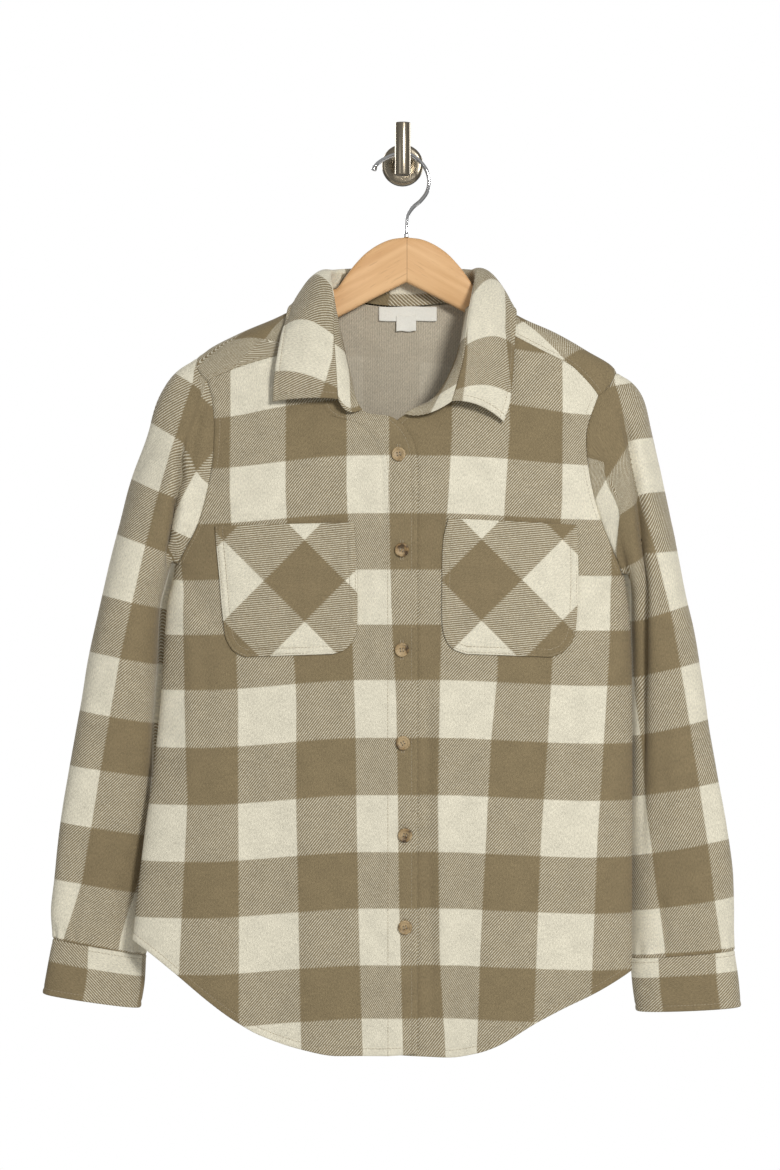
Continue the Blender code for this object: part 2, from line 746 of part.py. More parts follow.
def neckline():
    """Places closely spaced along the neckline, from the right front round the back."""
    inner, _ = yoke_stations()
    count = 120
    right = [on_body(*curve_through(EDGE_RIGHT, 0.6 + 0.4 * i / count)) for i in range(count)]
    yoke = [curve_through(inner, i / (3 * count)) for i in range(3 * count + 1)]
    left = [on_body(*curve_through(EDGE_LEFT, 0.5 + 0.5 * i / count)) for i in range(count)]
    return right + yoke + left[::-1]


def neck_bases():
    """How far along the neckline each row of the collar starts."""
    path = neckline()
    bases = []
    for face, (x, drop), *_ in COLLAR:
        if face == "ridge":
            target = body_point(0.0 if x < 0 else 2.0, drop)
        else:
            target = body_point(*on_body(x, drop, face == "front"))
        nearest = min(range(len(path)), key=lambda i: (body_point(*path[i]) - target).length)
        bases.append(nearest)
    return path, bases


def stand_base(path, bases, t):
    """The stand's lower edge: outside the fronts, inside the yoke's back neck."""
    rows = [i / (len(bases) - 1) for i in range(len(bases))]
    index = min(max(smooth_read(rows, bases, t), 0), len(path) - 1)
    turn, drop = path[int(index)]
    point, normal = body_point(turn, drop), body_normal(turn, drop)
    on_front = math.sin(turn * math.pi / 2)
    lift = NECK_LIFT * ease(-0.35, 0.1, on_front)
    return point + normal * lift + Vector((0, 0, 1.5)) * (1 - ease(-0.6, 0.0, on_front))


def bend(start, control, end, t):
    return start * (1 - t) ** 2 + control * 2 * t * (1 - t) + end * t * t


def surface_grid(point_at, rows, columns, outward):
    grid = []
    for r in range(rows + 1):
        made = []
        for c in range(columns + 1):
            u, v = r / rows, c / columns
            step = 0.01
            along = point_at(min(u + step, 1), v) - point_at(max(u - step, 0), v)
            over = point_at(u, min(v + step, 1)) - point_at(u, max(v - step, 0))
            normal = along.cross(over).normalized() * outward
            made.append((point_at(u, v), normal))
        grid.append(made)
    return grid


def build_collar(cloth):
    path, bases = neck_bases()

    def stand_point(u, v):
        section = collar_section(u)
        base = stand_base(path, bases, u)
        return bend(base, section["roll"], section["seam"], v)

    def leaf_point(u, v):
        section = collar_section(u)
        start = section["seam"] + (section["fall"] - section["seam"]).normalized() * (SEAM_GAP + 1.2)
        return clear_of_body(bend(start, section["fall"], section["edge"], v), LEAF_LIFT)

    cloth_wall("collar_stand", surface_grid(stand_point, COLLAR_STEPS, STAND_STEPS, 1), cloth, CLOTH)
    cloth_wall("collar_leaf", surface_grid(leaf_point, COLLAR_STEPS, LEAF_STEPS, 1), cloth, CLOTH)


# Pockets, buttons and labels


def build_pocket(name, outline, cloth, top_layer):
    rows, columns = 12, 8
    step_out = LAYER_STEP + 0.35
    grid = []
    for r in range(rows + 1):
        t = r / rows
        t = 1 - (1 - t) ** 1.6
        start = on_body(*curve_through([row[0] for row in outline], t))
        end = on_body(*curve_through([row[1] for row in outline], t))
        made = []
        for c in range(columns + 1):
            turn, drop = mix(start, end, c / columns)
            normal = body_normal(turn, drop)
            lift = placket_lift(turn, drop, top_layer) if top_layer else 0.0
            made.append((body_point(turn, drop) + normal * (step_out + lift), normal))
        grid.append(made)
    cloth_wall(name, grid, cloth, CLOTH)


def build_button(name, x, drop, horn):
    """A round button with a raised rim and a dished face."""
    builder = bmesh.new()
    radius, thick = BUTTON_DIAMETER / 2, BUTTON_THICK
    profile = (
        (0, 0), (radius - 0.7, 0), (radius, 0.7), (radius, thick - 0.8), (radius - 0.8, thick),
        (radius - 1.8, thick), (radius - 2.6, thick - 0.8), (0, thick - 0.8),
    )
    spin_profile(builder, [(r, 0, z) for r, z in profile], (0, 0, 1), 18)
    place = on_body(x, drop)
    normal = body_normal(*place)
    stand_off = placket_lift(*place, True) + CLOTH / 2 + SEAM_GAP + 0.2
    turned = Vector((0, 0, 1)).rotation_difference(normal).to_matrix().to_4x4()
    moved = Matrix.Translation(body_point(*place) + normal * stand_off) @ turned
    bmesh.ops.transform(builder, matrix=moved, verts=builder.verts)
    finish_object(name, builder, horn)


def build_label(name, left, right, top, bottom, stand_off, material):
    """A woven label lying on the inside of the back, just below the neck seam."""
    rows, columns = 2, 6
    grid = []
    for r in range(rows + 1):
        made = []
        for c in range(columns + 1):
            x = left + (right - left) * c / columns
            drop = top + (bottom - top) * r / rows
            turn, place = on_body(x, drop, False)
            normal = body_normal(turn, place)
            made.append((body_point(turn, place) - normal * stand_off, normal))
        grid.append(made)
    cloth_wall(name, grid, material, 1.0)


# Hanger and wall hook


def build_hanger(wood):
    """The wooden bar, lofted from rounded sections across its length."""
    builder = bmesh.new()
    half_steps, ring = 17, 12
    rings = []
    centre_x = WOOD_APEX[0]
    for step in range(-half_steps, half_steps + 1):
        end = WOOD_END - centre_x if step > 0 else WOOD_END + centre_x
        x = centre_x + end * step / half_steps
        from_middle = abs(x - centre_x)
        inside = smooth_read(WOOD_NECK["x"], WOOD_NECK["top"], from_middle)
        under_ridge = ridge_drop(x) + WOOD_BELOW_RIDGE if from_middle > 66 else inside
        share = ease(66, 76, from_middle)
        top = inside * (1 - share) + under_ridge * share
        bottom = smooth_read(WOOD_UNDER["x"], WOOD_UNDER["bottom"], from_middle)
        in_neck = 1 - ease(25, 70, from_middle)
        depth = read(BODY, "drop", "middle", max(top, 122))
        depth += (HOOK_DEPTH - depth) * in_neck
        half = (bottom - top) / 2
        end_share = ease(WOOD_END - 9, WOOD_END, abs(x))
        half_thick = WOOD_THICK / 2 * (1 - 0.45 * end_share)
        half *= 1 - 0.3 * end_share
        made = []
        for i in range(ring):
            angle = 2 * math.pi * i / ring
            across, up = math.cos(angle), math.sin(angle)
            y = depth + half_thick * math.copysign(abs(across) ** 0.6, across)
            z = -(top + bottom) / 2 + half * math.copysign(abs(up) ** 0.6, up)
            made.append(builder.verts.new((x, y, z)))
        rings.append(made)
    for first, second in zip(rings, rings[1:]):
        for i in range(ring):
            j = (i + 1) % ring
            builder.faces.new((first[i], first[j], second[j], second[i]))
    builder.faces.new(rings[0])
    builder.faces.new(rings[-1])
    finish_object("hanger_wood", builder, wood)


def build_hanger_hook(chrome):
    """The bent rod, with a small ball on its free end."""
    builder = bmesh.new()
    ring = 9
    samples = 42
    route = [(x, HOOK_DEPTH, -drop) for x, drop in HOOK_ROUTE]
    rings = []
    for step in range(samples + 1):
        t = step / samples
        here = Vector(curve_through(route, t))
        ahead = Vector(curve_through(route, min(t + 0.01, 1)))
        behind = Vector(curve_through(route, max(t - 0.01, 0)))
        along = (ahead - behind).normalized()
        depth = Vector((0, 1, 0))
        side = along.cross(depth).normalized()
        bead = 1.0 + 0.45 * (1 - ease(0.0, 0.07, t))
        tip = 0.55 if step == 0 else 1.0
        radius = WIRE / 2 * bead * tip
        rings.append(
            [
                builder.verts.new(
                    here
                    + side * radius * math.cos(2 * math.pi * i / ring)
                    + depth * radius * math.sin(2 * math.pi * i / ring)
                )
                for i in range(ring)
            ]
        )
    for first, second in zip(rings, rings[1:]):
        for i in range(ring):
            j = (i + 1) % ring
            builder.faces.new((first[i], first[j], second[j], second[i]))
    builder.faces.new(rings[0])
    builder.faces.new(rings[-1])
    finish_object("hanger_hook", builder, chrome)


def spin_profile(builder, points, axis, segments):
    """Turn a line of points that starts and ends on the axis into a closed surface."""
    verts = [builder.verts.new(point) for point in points]
    edges = [builder.edges.new(pair) for pair in zip(verts, verts[1:])]
    bmesh.ops.spin(
        builder, geom=verts + edges, axis=axis, cent=(0, 0, 0), angle=2 * math.pi,
        steps=segments, use_merge=True,
    )
    bmesh.ops.remove_doubles(builder, verts=builder.verts, dist=0.001)


def turned_solid(name, profile, material, segments=32):
    """A solid of revolution about the Y axis from (radius, y) points."""
    builder = bmesh.new()
    spin_profile(builder, [(radius, y, 0) for radius, y in profile], (0, 1, 0), segments)
    return finish_object(name, builder, material)


def build_wall_hook(nickel):
    radius = ROSETTE_DIAMETER / 2
    thick = -ROSETTE_THICK
    post = POST_DIAMETER / 2
    rosette = (
        (0, 0), (radius, 0), (radius, thick + 3.2), (radius - 1.0, thick + 1.2),
        (radius - 3.2, thick), (0, thick),
    )
    turned_solid("wall_rosette", rosette, nickel)
    post_end = -(BAR_DEPTH - 4.0)
    stem = ((0, thick - SEAM_GAP), (post, thick - SEAM_GAP), (post, post_end), (0, post_end))
    peg = turned_solid("hook_peg", stem, nickel, segments=24)
    builder = bmesh.new()
    length = BAR_BOTTOM - BAR_TOP
    bmesh.ops.create_cone(
        builder, cap_ends=True, segments=28, radius1=BAR_DIAMETER / 2, radius2=BAR_DIAMETER / 2, depth=length
    )
    ends = [e for e in builder.edges if abs(e.verts[0].co.z - e.verts[1].co.z) < 0.01]
    bmesh.ops.bevel(builder, geom=ends, offset=0.8, segments=2, profile=0.5, affect="EDGES")
    bmesh.ops.translate(builder, vec=(0, -BAR_DEPTH, -(BAR_TOP + BAR_BOTTOM) / 2), verts=builder.verts)
    bar = finish_object("bar_cutter", builder, nickel)
    union = peg.modifiers.new("bar", "BOOLEAN")
    union.operation = "UNION"
    union.object = bar
    bar.hide_render = True
    bar.display_type = "WIRE"


def main():
    clear_scene()
    check_cloth = make_material("flannel_check", (0.33, 0.29, 0.22), 0.9)
    woven_label = make_material("label_cream", (0.86, 0.84, 0.79), 0.8)
    horn = make_material("button_horn", (0.32, 0.24, 0.13), 0.35)
    wood = make_material("hanger_beech", (0.78, 0.50, 0.26), 0.45)
    chrome = make_material("hook_chrome", (0.75, 0.75, 0.74), 0.12, 1.0)
    nickel = make_material("wall_nickel", (0.62, 0.60, 0.56), 0.32, 1.0)

    right_front, left_front = build_fronts(check_cloth)
    yoke = build_yoke(check_cloth)
    back = build_back(check_cloth, yoke)
    right_ring = armhole_ring(right_front, yoke, back, True)
    left_ring = armhole_ring(left_front, yoke, back, False)
    build_sleeve("right", SLEEVE_RIGHT, right_ring, True, check_cloth)
    build_sleeve("left", SLEEVE_LEFT, left_ring, False, check_cloth)
    build_cuff("right_cuff", RIGHT_CUFF, check_cloth)
    build_cuff("left_cuff", LEFT_CUFF, check_cloth)
    build_collar(check_cloth)
    build_pocket("right_pocket", POCKET_RIGHT, check_cloth, True)
    build_pocket("left_pocket", POCKET_LEFT, check_cloth, False)
    for number, (x, drop) in enumerate(BUTTONS, start=1):
        build_button(f"button_{number}", x, drop, horn)
    build_label("neck_label", -23, 33, 138, 152, CLOTH / 2 + SEAM_GAP + 0.5, woven_label)
    build_label("size_tab", -6, 13, 147, 162, CLOTH / 2 + 2 * SEAM_GAP + 1.5, woven_label)
    build_hanger(wood)
    build_hanger_hook(chrome)
    build_wall_hook(nickel)


main()
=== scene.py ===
# The look of the shirt jacket, its hanger and its wall hook, over the part's solids.
#
# Lengths are millimetres until a mesh is made. X runs to the right as seen from the front,
# Y runs into the wall and "drop" is the distance below the origin. Left and right are the
# wearer's. Each piece of cloth is a thin shell on the same surface as its solid, with the
# check laid on it in blocks: an even block is taupe, an odd one cream.

import math

import bmesh
import bpy
import numpy as np
from mathutils import Matrix, Vector


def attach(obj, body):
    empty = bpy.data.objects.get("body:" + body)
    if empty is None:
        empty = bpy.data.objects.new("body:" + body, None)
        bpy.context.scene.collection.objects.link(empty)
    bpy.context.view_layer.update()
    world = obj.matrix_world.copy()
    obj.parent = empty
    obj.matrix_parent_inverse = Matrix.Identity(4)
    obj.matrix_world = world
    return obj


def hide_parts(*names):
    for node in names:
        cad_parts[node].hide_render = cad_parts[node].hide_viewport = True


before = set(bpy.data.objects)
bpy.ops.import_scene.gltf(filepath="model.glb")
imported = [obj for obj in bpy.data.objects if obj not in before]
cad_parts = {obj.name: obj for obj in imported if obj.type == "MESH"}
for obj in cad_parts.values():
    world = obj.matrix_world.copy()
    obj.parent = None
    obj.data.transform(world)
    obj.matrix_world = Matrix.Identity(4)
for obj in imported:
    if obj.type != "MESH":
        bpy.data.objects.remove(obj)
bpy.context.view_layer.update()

metres = 0.001
outerHalf = 0.95
innerHalf = 0.75
block = 54.0

# Surfaces of the garment, as in the part's source

sectionPower = 2.6
sleevePower = 2.3
placketEdge = 14.0
placketWidth = 32.0
placketLift = 1.4
underEdge = -14.0

body = {
    "drop": (114, 122, 134, 151, 166, 182, 200, 230, 260, 325, 392, 425, 460, 546, 660, 760, 870),
    "right": (-56, -67, -88, -120, -155, -186, -204, -207, -209, -212, -216, -223, -226, -233, -247, -258, -268),
    "left": (56, 69, 87, 113, 146, 175, 202, 211, 211, 210, 210, 214, 217, 218, 218, 217, 213),
    "middle": (-36, -36, -36, -36.5, -37, -37.5, -38.5, -40, -41, -43, -44, -44, -44, -45, -48, -50, -50),
    "front": (15, 17, 19, 21, 23, 25, 27, 30, 33, 37, 37, 37, 36, 33, 30, 27, 25),
    "back": (14, 16, 18, 18.5, 19, 20, 22, 25, 28, 32, 34, 34, 34, 34, 36, 38, 37),
}
frontFolds = (
    (-185, 400, 640, 26, 2.0), (-128, 470, 760, 30, -2.4), (-62, 480, 800, 28, 2.6),
    (46, 330, 700, 24, -2.6), (88, 420, 760, 28, 3.0), (150, 450, 800, 28, -2.6), (192, 420, 700, 20, 2.2),
)
backFolds = (
    (-170, 300, 640, 30, -2.6), (-108, 280, 700, 32, 3.4), (-38, 320, 760, 30, -3.0),
    (34, 300, 740, 30, 3.2), (102, 280, 700, 32, -2.8), (166, 320, 660, 28, 2.8),
)
hemRight = {
    "x": (14, -20, -60, -95, -134, -160, -185, -214, -240, -257),
    "drop": (849, 851, 851, 845, 832, 817, 799, 776, 756, 744),
}
hemLeft = {
    "x": (-14, 20, 45, 70, 90, 126, 155, 178, 200, 217),
    "drop": (850, 852, 853, 849, 842, 821, 806, 795, 783, 773),
}
hemBack = {
    "x": (-257, -240, -214, -160, -95, -20, 60, 110, 155, 190, 217),
    "drop": (744, 753, 770, 808, 836, 844, 845, 832, 809, 787, 773),
}
edgeRight = ((14, 400), (14, 345), (14, 298), (9, 268), (-9, 248), (-39, 240), (-50, 206), (-58, 172))
edgeLeft = ((-14, 405), (-14, 345), (-14, 290), (-9, 256), (4, 243), (31, 228), (51, 190), (60, 143))
armholeRight = ((-214, 387), (-206, 372), (-193, 345), (-182, 300), (-179, 261), (-181, 231), (-186, 212))
armholeLeft = ((209, 397), (201, 377), (190, 350), (181, 321), (175, 286), (175, 258), (186, 226))
armholeBackRight = ((-214, 387), (-206, 368), (-198, 335), (-194, 295), (-193, 258))
armholeBackLeft = ((209, 397), (201, 375), (195, 340), (193, 300), (194, 265))
sideEndRight = 744.0
sideEndLeft = 773.0


def smoothRead(places, values, at):
    # Values at any places along a table, on a smooth curve through its rows.
    places = np.asarray(places, float)
    values = np.asarray(values, float)
    steps = np.diff(values) / np.diff(places)
    tangents = np.empty(len(values))
    tangents[0], tangents[-1] = steps[0], steps[-1]
    product = steps[:-1] * steps[1:]
    total = np.where(product > 0, steps[:-1] + steps[1:], 1.0)
    tangents[1:-1] = np.where(product > 0, 2 * product / total, 0.0)
    at = np.clip(np.asarray(at, float), places[0], places[-1])
    row = np.clip(np.searchsorted(places, at, side="right") - 1, 0, len(places) - 2)
    span = places[row + 1] - places[row]
    t = (at - places[row]) / span
    start, end = values[row], values[row + 1]
    held = start * (1 + 2 * t) * (1 - t) ** 2 + end * t * t * (3 - 2 * t)
    leaning = tangents[row] * t * (1 - t) ** 2 - tangents[row + 1] * t * t * (1 - t)
    return held + span * leaning


def curveThrough(points, t):
    # Points at t from 0 to 1 on the smooth curve through the rows of points.
    points = np.asarray(points, float)
    last = len(points) - 1
    place = np.clip(np.asarray(t, float), 0.0, 1.0) * last
    i = np.minimum(place.astype(int), last - 1)
    f = (place - i)[..., None]
    a, b = points[np.maximum(i - 1, 0)], points[i]
    c, d = points[i + 1], points[np.minimum(i + 2, last)]
    square = (2 * a - 5 * b + 4 * c - d) * f * f
    return 0.5 * (2 * b + (c - a) * f + square + (3 * b - a - 3 * c + d) * f**3)


def ease(start, end, value):
    t = np.clip((value - start) / (end - start), 0.0, 1.0)
    return t * t * (3 - 2 * t)


def bell(value, width):
    return np.exp(-((value / width) ** 2))


def unit(vectors):
    length = np.linalg.norm(vectors, axis=-1, keepdims=True)
    return vectors / np.maximum(length, 1e-9)


def bodyPoint(turn, drop):
    # The body tube: turn 0 is the right side, 1 the centre front, 2 the left side, -1 the back.
    turn, drop = np.asarray(turn, float), np.asarray(drop, float)
    right = smoothRead(body["drop"], body["right"], drop)
    left = smoothRead(body["drop"], body["left"], drop)
    across = -np.cos(turn * math.pi / 2)
    x = (right + left) / 2 + (left - right) / 2 * across
    ahead = np.sin(turn * math.pi / 2) > 0
    standOff = np.where(
        ahead, smoothRead(body["drop"], body["front"], drop), smoothRead(body["drop"], body["back"], drop)
    )
    for folds, here in ((frontFolds, ahead), (backFolds, ~ahead)):
        for place, begins, full, halfWidth, height in folds:
            standOff = standOff + here * height * ease(begins, full, drop) * bell(x - place, halfWidth)
    height = np.maximum(1 - np.abs(across) ** sectionPower, 0) ** (1 / sectionPower) * standOff
    y = smoothRead(body["drop"], body["middle"], drop) + np.where(ahead, -height, height)
    return np.stack([x, y, -drop], axis=-1)


def bodyNormal(turn, drop):
    along = bodyPoint(turn + 0.02, drop) - bodyPoint(turn - 0.02, drop)
    down = bodyPoint(turn, drop + 2.0) - bodyPoint(turn, drop - 2.0)
    return unit(np.cross(down, along))


def onBody(x, drop, front=True):
    # Turn and drop of the places at this x on the front or the back.
    x, drop = np.asarray(x, float), np.asarray(drop, float)
    right = smoothRead(body["drop"], body["right"], drop)
    left = smoothRead(body["drop"], body["left"], drop)
    across = (2 * x - right - left) / (left - right)
    turn = np.arccos(np.clip(-across, -1, 1)) / (math.pi / 2)
    return np.stack([turn if front else -turn, drop + 0 * turn], axis=-1)


def ridgeDrop(x):
    column = body["right"] if x < 0 else body["left"]
    low, high = body["drop"][0], 210.0
    for _ in range(30):
        middle = (low + high) / 2
        if abs(smoothRead(body["drop"], column, middle)) < abs(x):
            low = middle
        else:
            high = middle
    return low


def liftOf(x, topLayer):
    # How far a front stands off the body where the two fronts lap over each other.
    if topLayer:
        return placketLift * ease(placketEdge - placketWidth - 25, placketEdge - placketWidth, x)
    return -placketLift * ease(underEdge + placketWidth + 25, underEdge + placketWidth, x)


# Creases in the cloth: a line of (x, drop) points, its half width and its height

creaseDepth = 1.25  # how many times deeper they all are than their heights say
frontCreases = (
    (((38, 500), (36, 600), (40, 700), (40, 850)), 10, 2.2),
    (((24, 480), (24, 640), (28, 860)), 6, -1.4),
    (((-98, 500), (-92, 620), (-88, 760), (-92, 860)), 15, 1.6),
    (((-150, 480), (-148, 620), (-156, 800)), 14, -1.5),
    (((120, 500), (124, 620), (118, 830)), 15, -1.6),
    (((172, 440), (176, 560), (168, 780)), 12, 1.6),
    (((-206, 392), (-186, 430), (-150, 462), (-110, 480)), 11, -1.8),
    (((-208, 410), (-198, 500), (-206, 640)), 9, 1.5),
    (((203, 402), (186, 436), (160, 470)), 11, -1.8),
    (((206, 420), (200, 520), (202, 640)), 9, 1.4),
    (((-176, 236), (-150, 252), (-118, 280), (-100, 330)), 13, -1.3),
    (((-140, 210), (-122, 262), (-118, 330)), 15, 1.2),
    (((172, 252), (150, 262), (120, 300), (110, 330)), 13, -1.4),
    (((138, 205), (126, 262), (128, 330)), 14, 1.1),
    (((-60, 262), (-54, 310), (-52, 420), (-50, 520)), 12, 1.1),
    (((70, 270), (66, 330)), 12, -1.0),
)
backCreases = (
    (((-196, 398), (-160, 440), (-120, 460)), 12, -1.8),
    (((196, 404), (166, 446), (128, 470)), 12, -1.8),
    (((-120, 300), (-124, 430), (-110, 640), (-116, 800)), 15, 1.7),
    (((-60, 290), (-66, 420), (-58, 700)), 14, -1.5),
    (((6, 286), (2, 450), (10, 800)), 15, 1.5),
    (((78, 300), (72, 440), (84, 760)), 14, -1.6),
    (((132, 320), (138, 500), (130, 780)), 15, 1.6),
    (((-170, 480), (-178, 640), (-190, 740)), 12, -1.4),
)


def nearLine(x, drop, line):
    # Distance to a line of points, and how far along it the nearest place is.
    fine = curveThrough(line, np.linspace(0, 1, 8 * (len(line) - 1) + 1))
    best = np.full(np.shape(x), 1e9)
    along = np.zeros(np.shape(x))
    for i in range(len(fine) - 1):
        a, b = fine[i], fine[i + 1]
        span = b - a
        t = np.clip(((x - a[0]) * span[0] + (drop - a[1]) * span[1]) / (span @ span), 0, 1)
        away = np.hypot(x - a[0] - span[0] * t, drop - a[1] - span[1] * t)
        closer = away < best
        best = np.where(closer, away, best)
        along = np.where(closer, (i + t) / (len(fine) - 1), along)
    return best, along


def creasesAt(x, drop, creases):
    total = np.zeros(np.shape(x))
    for line, halfWidth, height in creases:
        away, along = nearLine(x, drop, line)
        fading = ease(0, 0.2, along) * ease(1.0, 0.7, along)
        total += creaseDepth * height * bell(away, halfWidth) * fading
    return total


def rumple(x, y, seed, size=1.0):
    # Gentle unevenness, a little different everywhere.
    a = np.sin(x / (37 * size) + 1.7 * np.sin(y / (61 * size) + seed))
    b = np.sin(y / (43 * size) + 1.3 * np.sin(x / (53 * size) + 2.1 * seed))
    c = np.sin((x + y) / (23 * size) + 1.9 * np.sin((x - y) / (47 * size) + 0.7 * seed))
    return (a + b + 0.6 * c) / 2.6


def bodyRelief(turn, drop):
    x = bodyPoint(turn, drop)[..., 0]
    front = ease(-0.1, 0.35, np.sin(turn * math.pi / 2))
    relief = front * creasesAt(x, drop, frontCreases) + (1 - front) * creasesAt(x, drop, backCreases)
    return (relief + 0.55 * rumple(x, drop, 1.3)) * ease(118, 170, drop)


# Where the check's blocks fall

rowDrops = (182, 235.7, 288.7, 343.6, 396.5, 448.6, 500.6, 555.5, 609.4, 663.4, 716.4, 770.3, 820.4, 872)
rightLines = (
    ((316, 420, 515, 610, 704, 799, 846), (-214.6, -207, -206.1, -203.2, -208, -212.7, -213.6)),
    ((316, 420, 515, 610, 704, 799, 846), (-163.5, -158.8, -155.9, -155.9, -155, -155, -155)),
    ((316, 420, 515, 610, 704, 799, 846), (-110.5, -105.8, -100.1, -100.1, -98.2, -96.3, -95.4)),
    ((316, 420, 515, 610, 704, 799, 846), (-52.8, -48.1, -45.2, -43.3, -41.4, -39.5, -37.6)),
    ((316, 420, 515, 610, 704, 799, 846), (-13, -11.2, -6.4, -4.5, -3.6, -1.2, 0.2)),
)
leftLines = (
    ((260, 326, 382, 496, 610, 761, 851), (46.6, 42.8, 38.1, 35.2, 33.3, 35.2, 40.9)),
    ((260, 326, 420, 496, 553, 647, 751, 846), (101.4, 96.7, 92, 89.1, 83.5, 78.7, 73.1, 70.2)),
    ((260, 326, 420, 496, 553, 647, 751, 846), (151.6, 150.6, 145, 140.2, 137.4, 130.8, 127, 123.2)),
    ((260, 326, 420, 496, 553, 647, 751, 846), (197, 197, 198, 194.2, 190.4, 184.2, 180.4, 177.1)),
)


def acrossLines(x, drop, lines, first):
    # Block coordinate across, by lines that each have an x at several drops.
    places = [np.interp(drop, drops, xs) for drops, xs in lines]
    u = first + (x - places[0]) / block
    for i in range(len(places) - 1):
        span = places[i + 1] - places[i]
        u = np.where(x >= places[i], first + i + (x - places[i]) / span, u)
    last = len(places) - 1
    return np.where(x >= places[last], first + last + (x - places[last]) / block, u)


def rowsDown(x, drop):
    # Block coordinate down the body. The rows sag towards the sides, most near the shoulders.
    aside = np.abs(x + 4)
    sag = -5 + (10 - 4 * ease(-20, 60, x)) * ease(30, 190, aside)
    sag = sag + 9 * ease(70, 200, aside) * ease(330, 235, drop)
    level = drop - sag
    v = np.interp(level, rowDrops, np.arange(-1, 13))
    v = np.where(level < rowDrops[0], -1 + (level - rowDrops[0]) / 53.5, v)
    return np.where(level > rowDrops[-1], 12 + (level - rowDrops[-1]) / 53.5, v)


# Cloth materials


def nodeAt(tree, kind, **settings):
    node = tree.nodes.new(kind)
    for key, value in settings.items():
        setattr(node, key, value)
    return node


def mathNode(tree, operation, first, second=None):
    node = nodeAt(tree, "ShaderNodeMath", operation=operation)
    for socket, value in zip(node.inputs, (first, second)):
        if value is None:
            continue
        if isinstance(value, (int, float)):
            socket.default_value = value
        else:
            tree.links.new(value, socket)
    return node.outputs[0]


def plus(tree, first, second):
    return mathNode(tree, "ADD", first, second)


def minus(tree, first, second):
    return mathNode(tree, "SUBTRACT", first, second)


def times(tree, first, second):
    return mathNode(tree, "MULTIPLY", first, second)


def mixColours(tree, factor, first, second):
    node = nodeAt(tree, "ShaderNodeMix", data_type="RGBA")
    for socket, value in zip((node.inputs[0], node.inputs[6], node.inputs[7]), (factor, first, second)):
        if isinstance(value, (int, float)):
            socket.default_value = value
        elif isinstance(value, tuple):
            socket.default_value = (*value, 1.0)
        else:
            tree.links.new(value, socket)
    return node.outputs[2]


def noiseNode(tree, vector, scale, detail=2.0):
    node = nodeAt(tree, "ShaderNodeTexNoise")
    node.inputs["Scale"].default_value = scale
    node.inputs["Detail"].default_value = detail
    tree.links.new(vector, node.inputs["Vector"])
    return node.outputs["Fac"]


def objectPlace(tree):
    return nodeAt(tree, "ShaderNodeTexCoord").outputs["Object"]


def startMaterial(name, roughness, metallic=0.0):
    material = bpy.data.materials.new(name)
    material.use_nodes = True
    tree = material.node_tree
    shader = tree.nodes["Principled BSDF"]
    shader.inputs["Roughness"].default_value = roughness
    shader.inputs["Metallic"].default_value = metallic
    return material, tree, shader


def bumpInto(tree, shader, height, distance, strength):
    bump = nodeAt(tree, "ShaderNodeBump")
    bump.inputs["Distance"].default_value = distance
    bump.inputs["Strength"].default_value = strength
    tree.links.new(height, bump.inputs["Height"])
    tree.links.new(bump.outputs["Normal"], shader.inputs["Normal"])


def smoothStep(tree, value, low, high):
    node = nodeAt(tree, "ShaderNodeMapRange", interpolation_type="SMOOTHSTEP")
    tree.links.new(value, node.inputs["Value"])
    node.inputs["From Min"].default_value = low
    node.inputs["From Max"].default_value = high
    return node.outputs["Result"]


clothLook = {
    "taupe": (0.252, 0.195, 0.108),
    "cream": (0.775, 0.725, 0.575),
    "twill across": 2.65,  # from one slanting line to the next, mm
    "twill down": 3.2,
    "line strength": 0.80,
    "line base": 0.03,
    "edge wobble": 0.03,  # of the blocks' edges, in blocks
    "edge step": 0.022,
    "reverse": (0.58, 0.515, 0.40),
    "reverse low": (0.45, 0.395, 0.305),
    "reverse rib": 1.7,
    "check on reverse": 0.12,
    "fine scale": 95.0,
    "streak scale": 20.0,
    "cloud scale": 3.1,
    "fine": 0.66,  # how strongly each kind of unevenness shades the cloth
    "streak": 0.84,
    "cloud": 0.28,
    "least shade": 0.11,
    "bump": 0.0006,
}


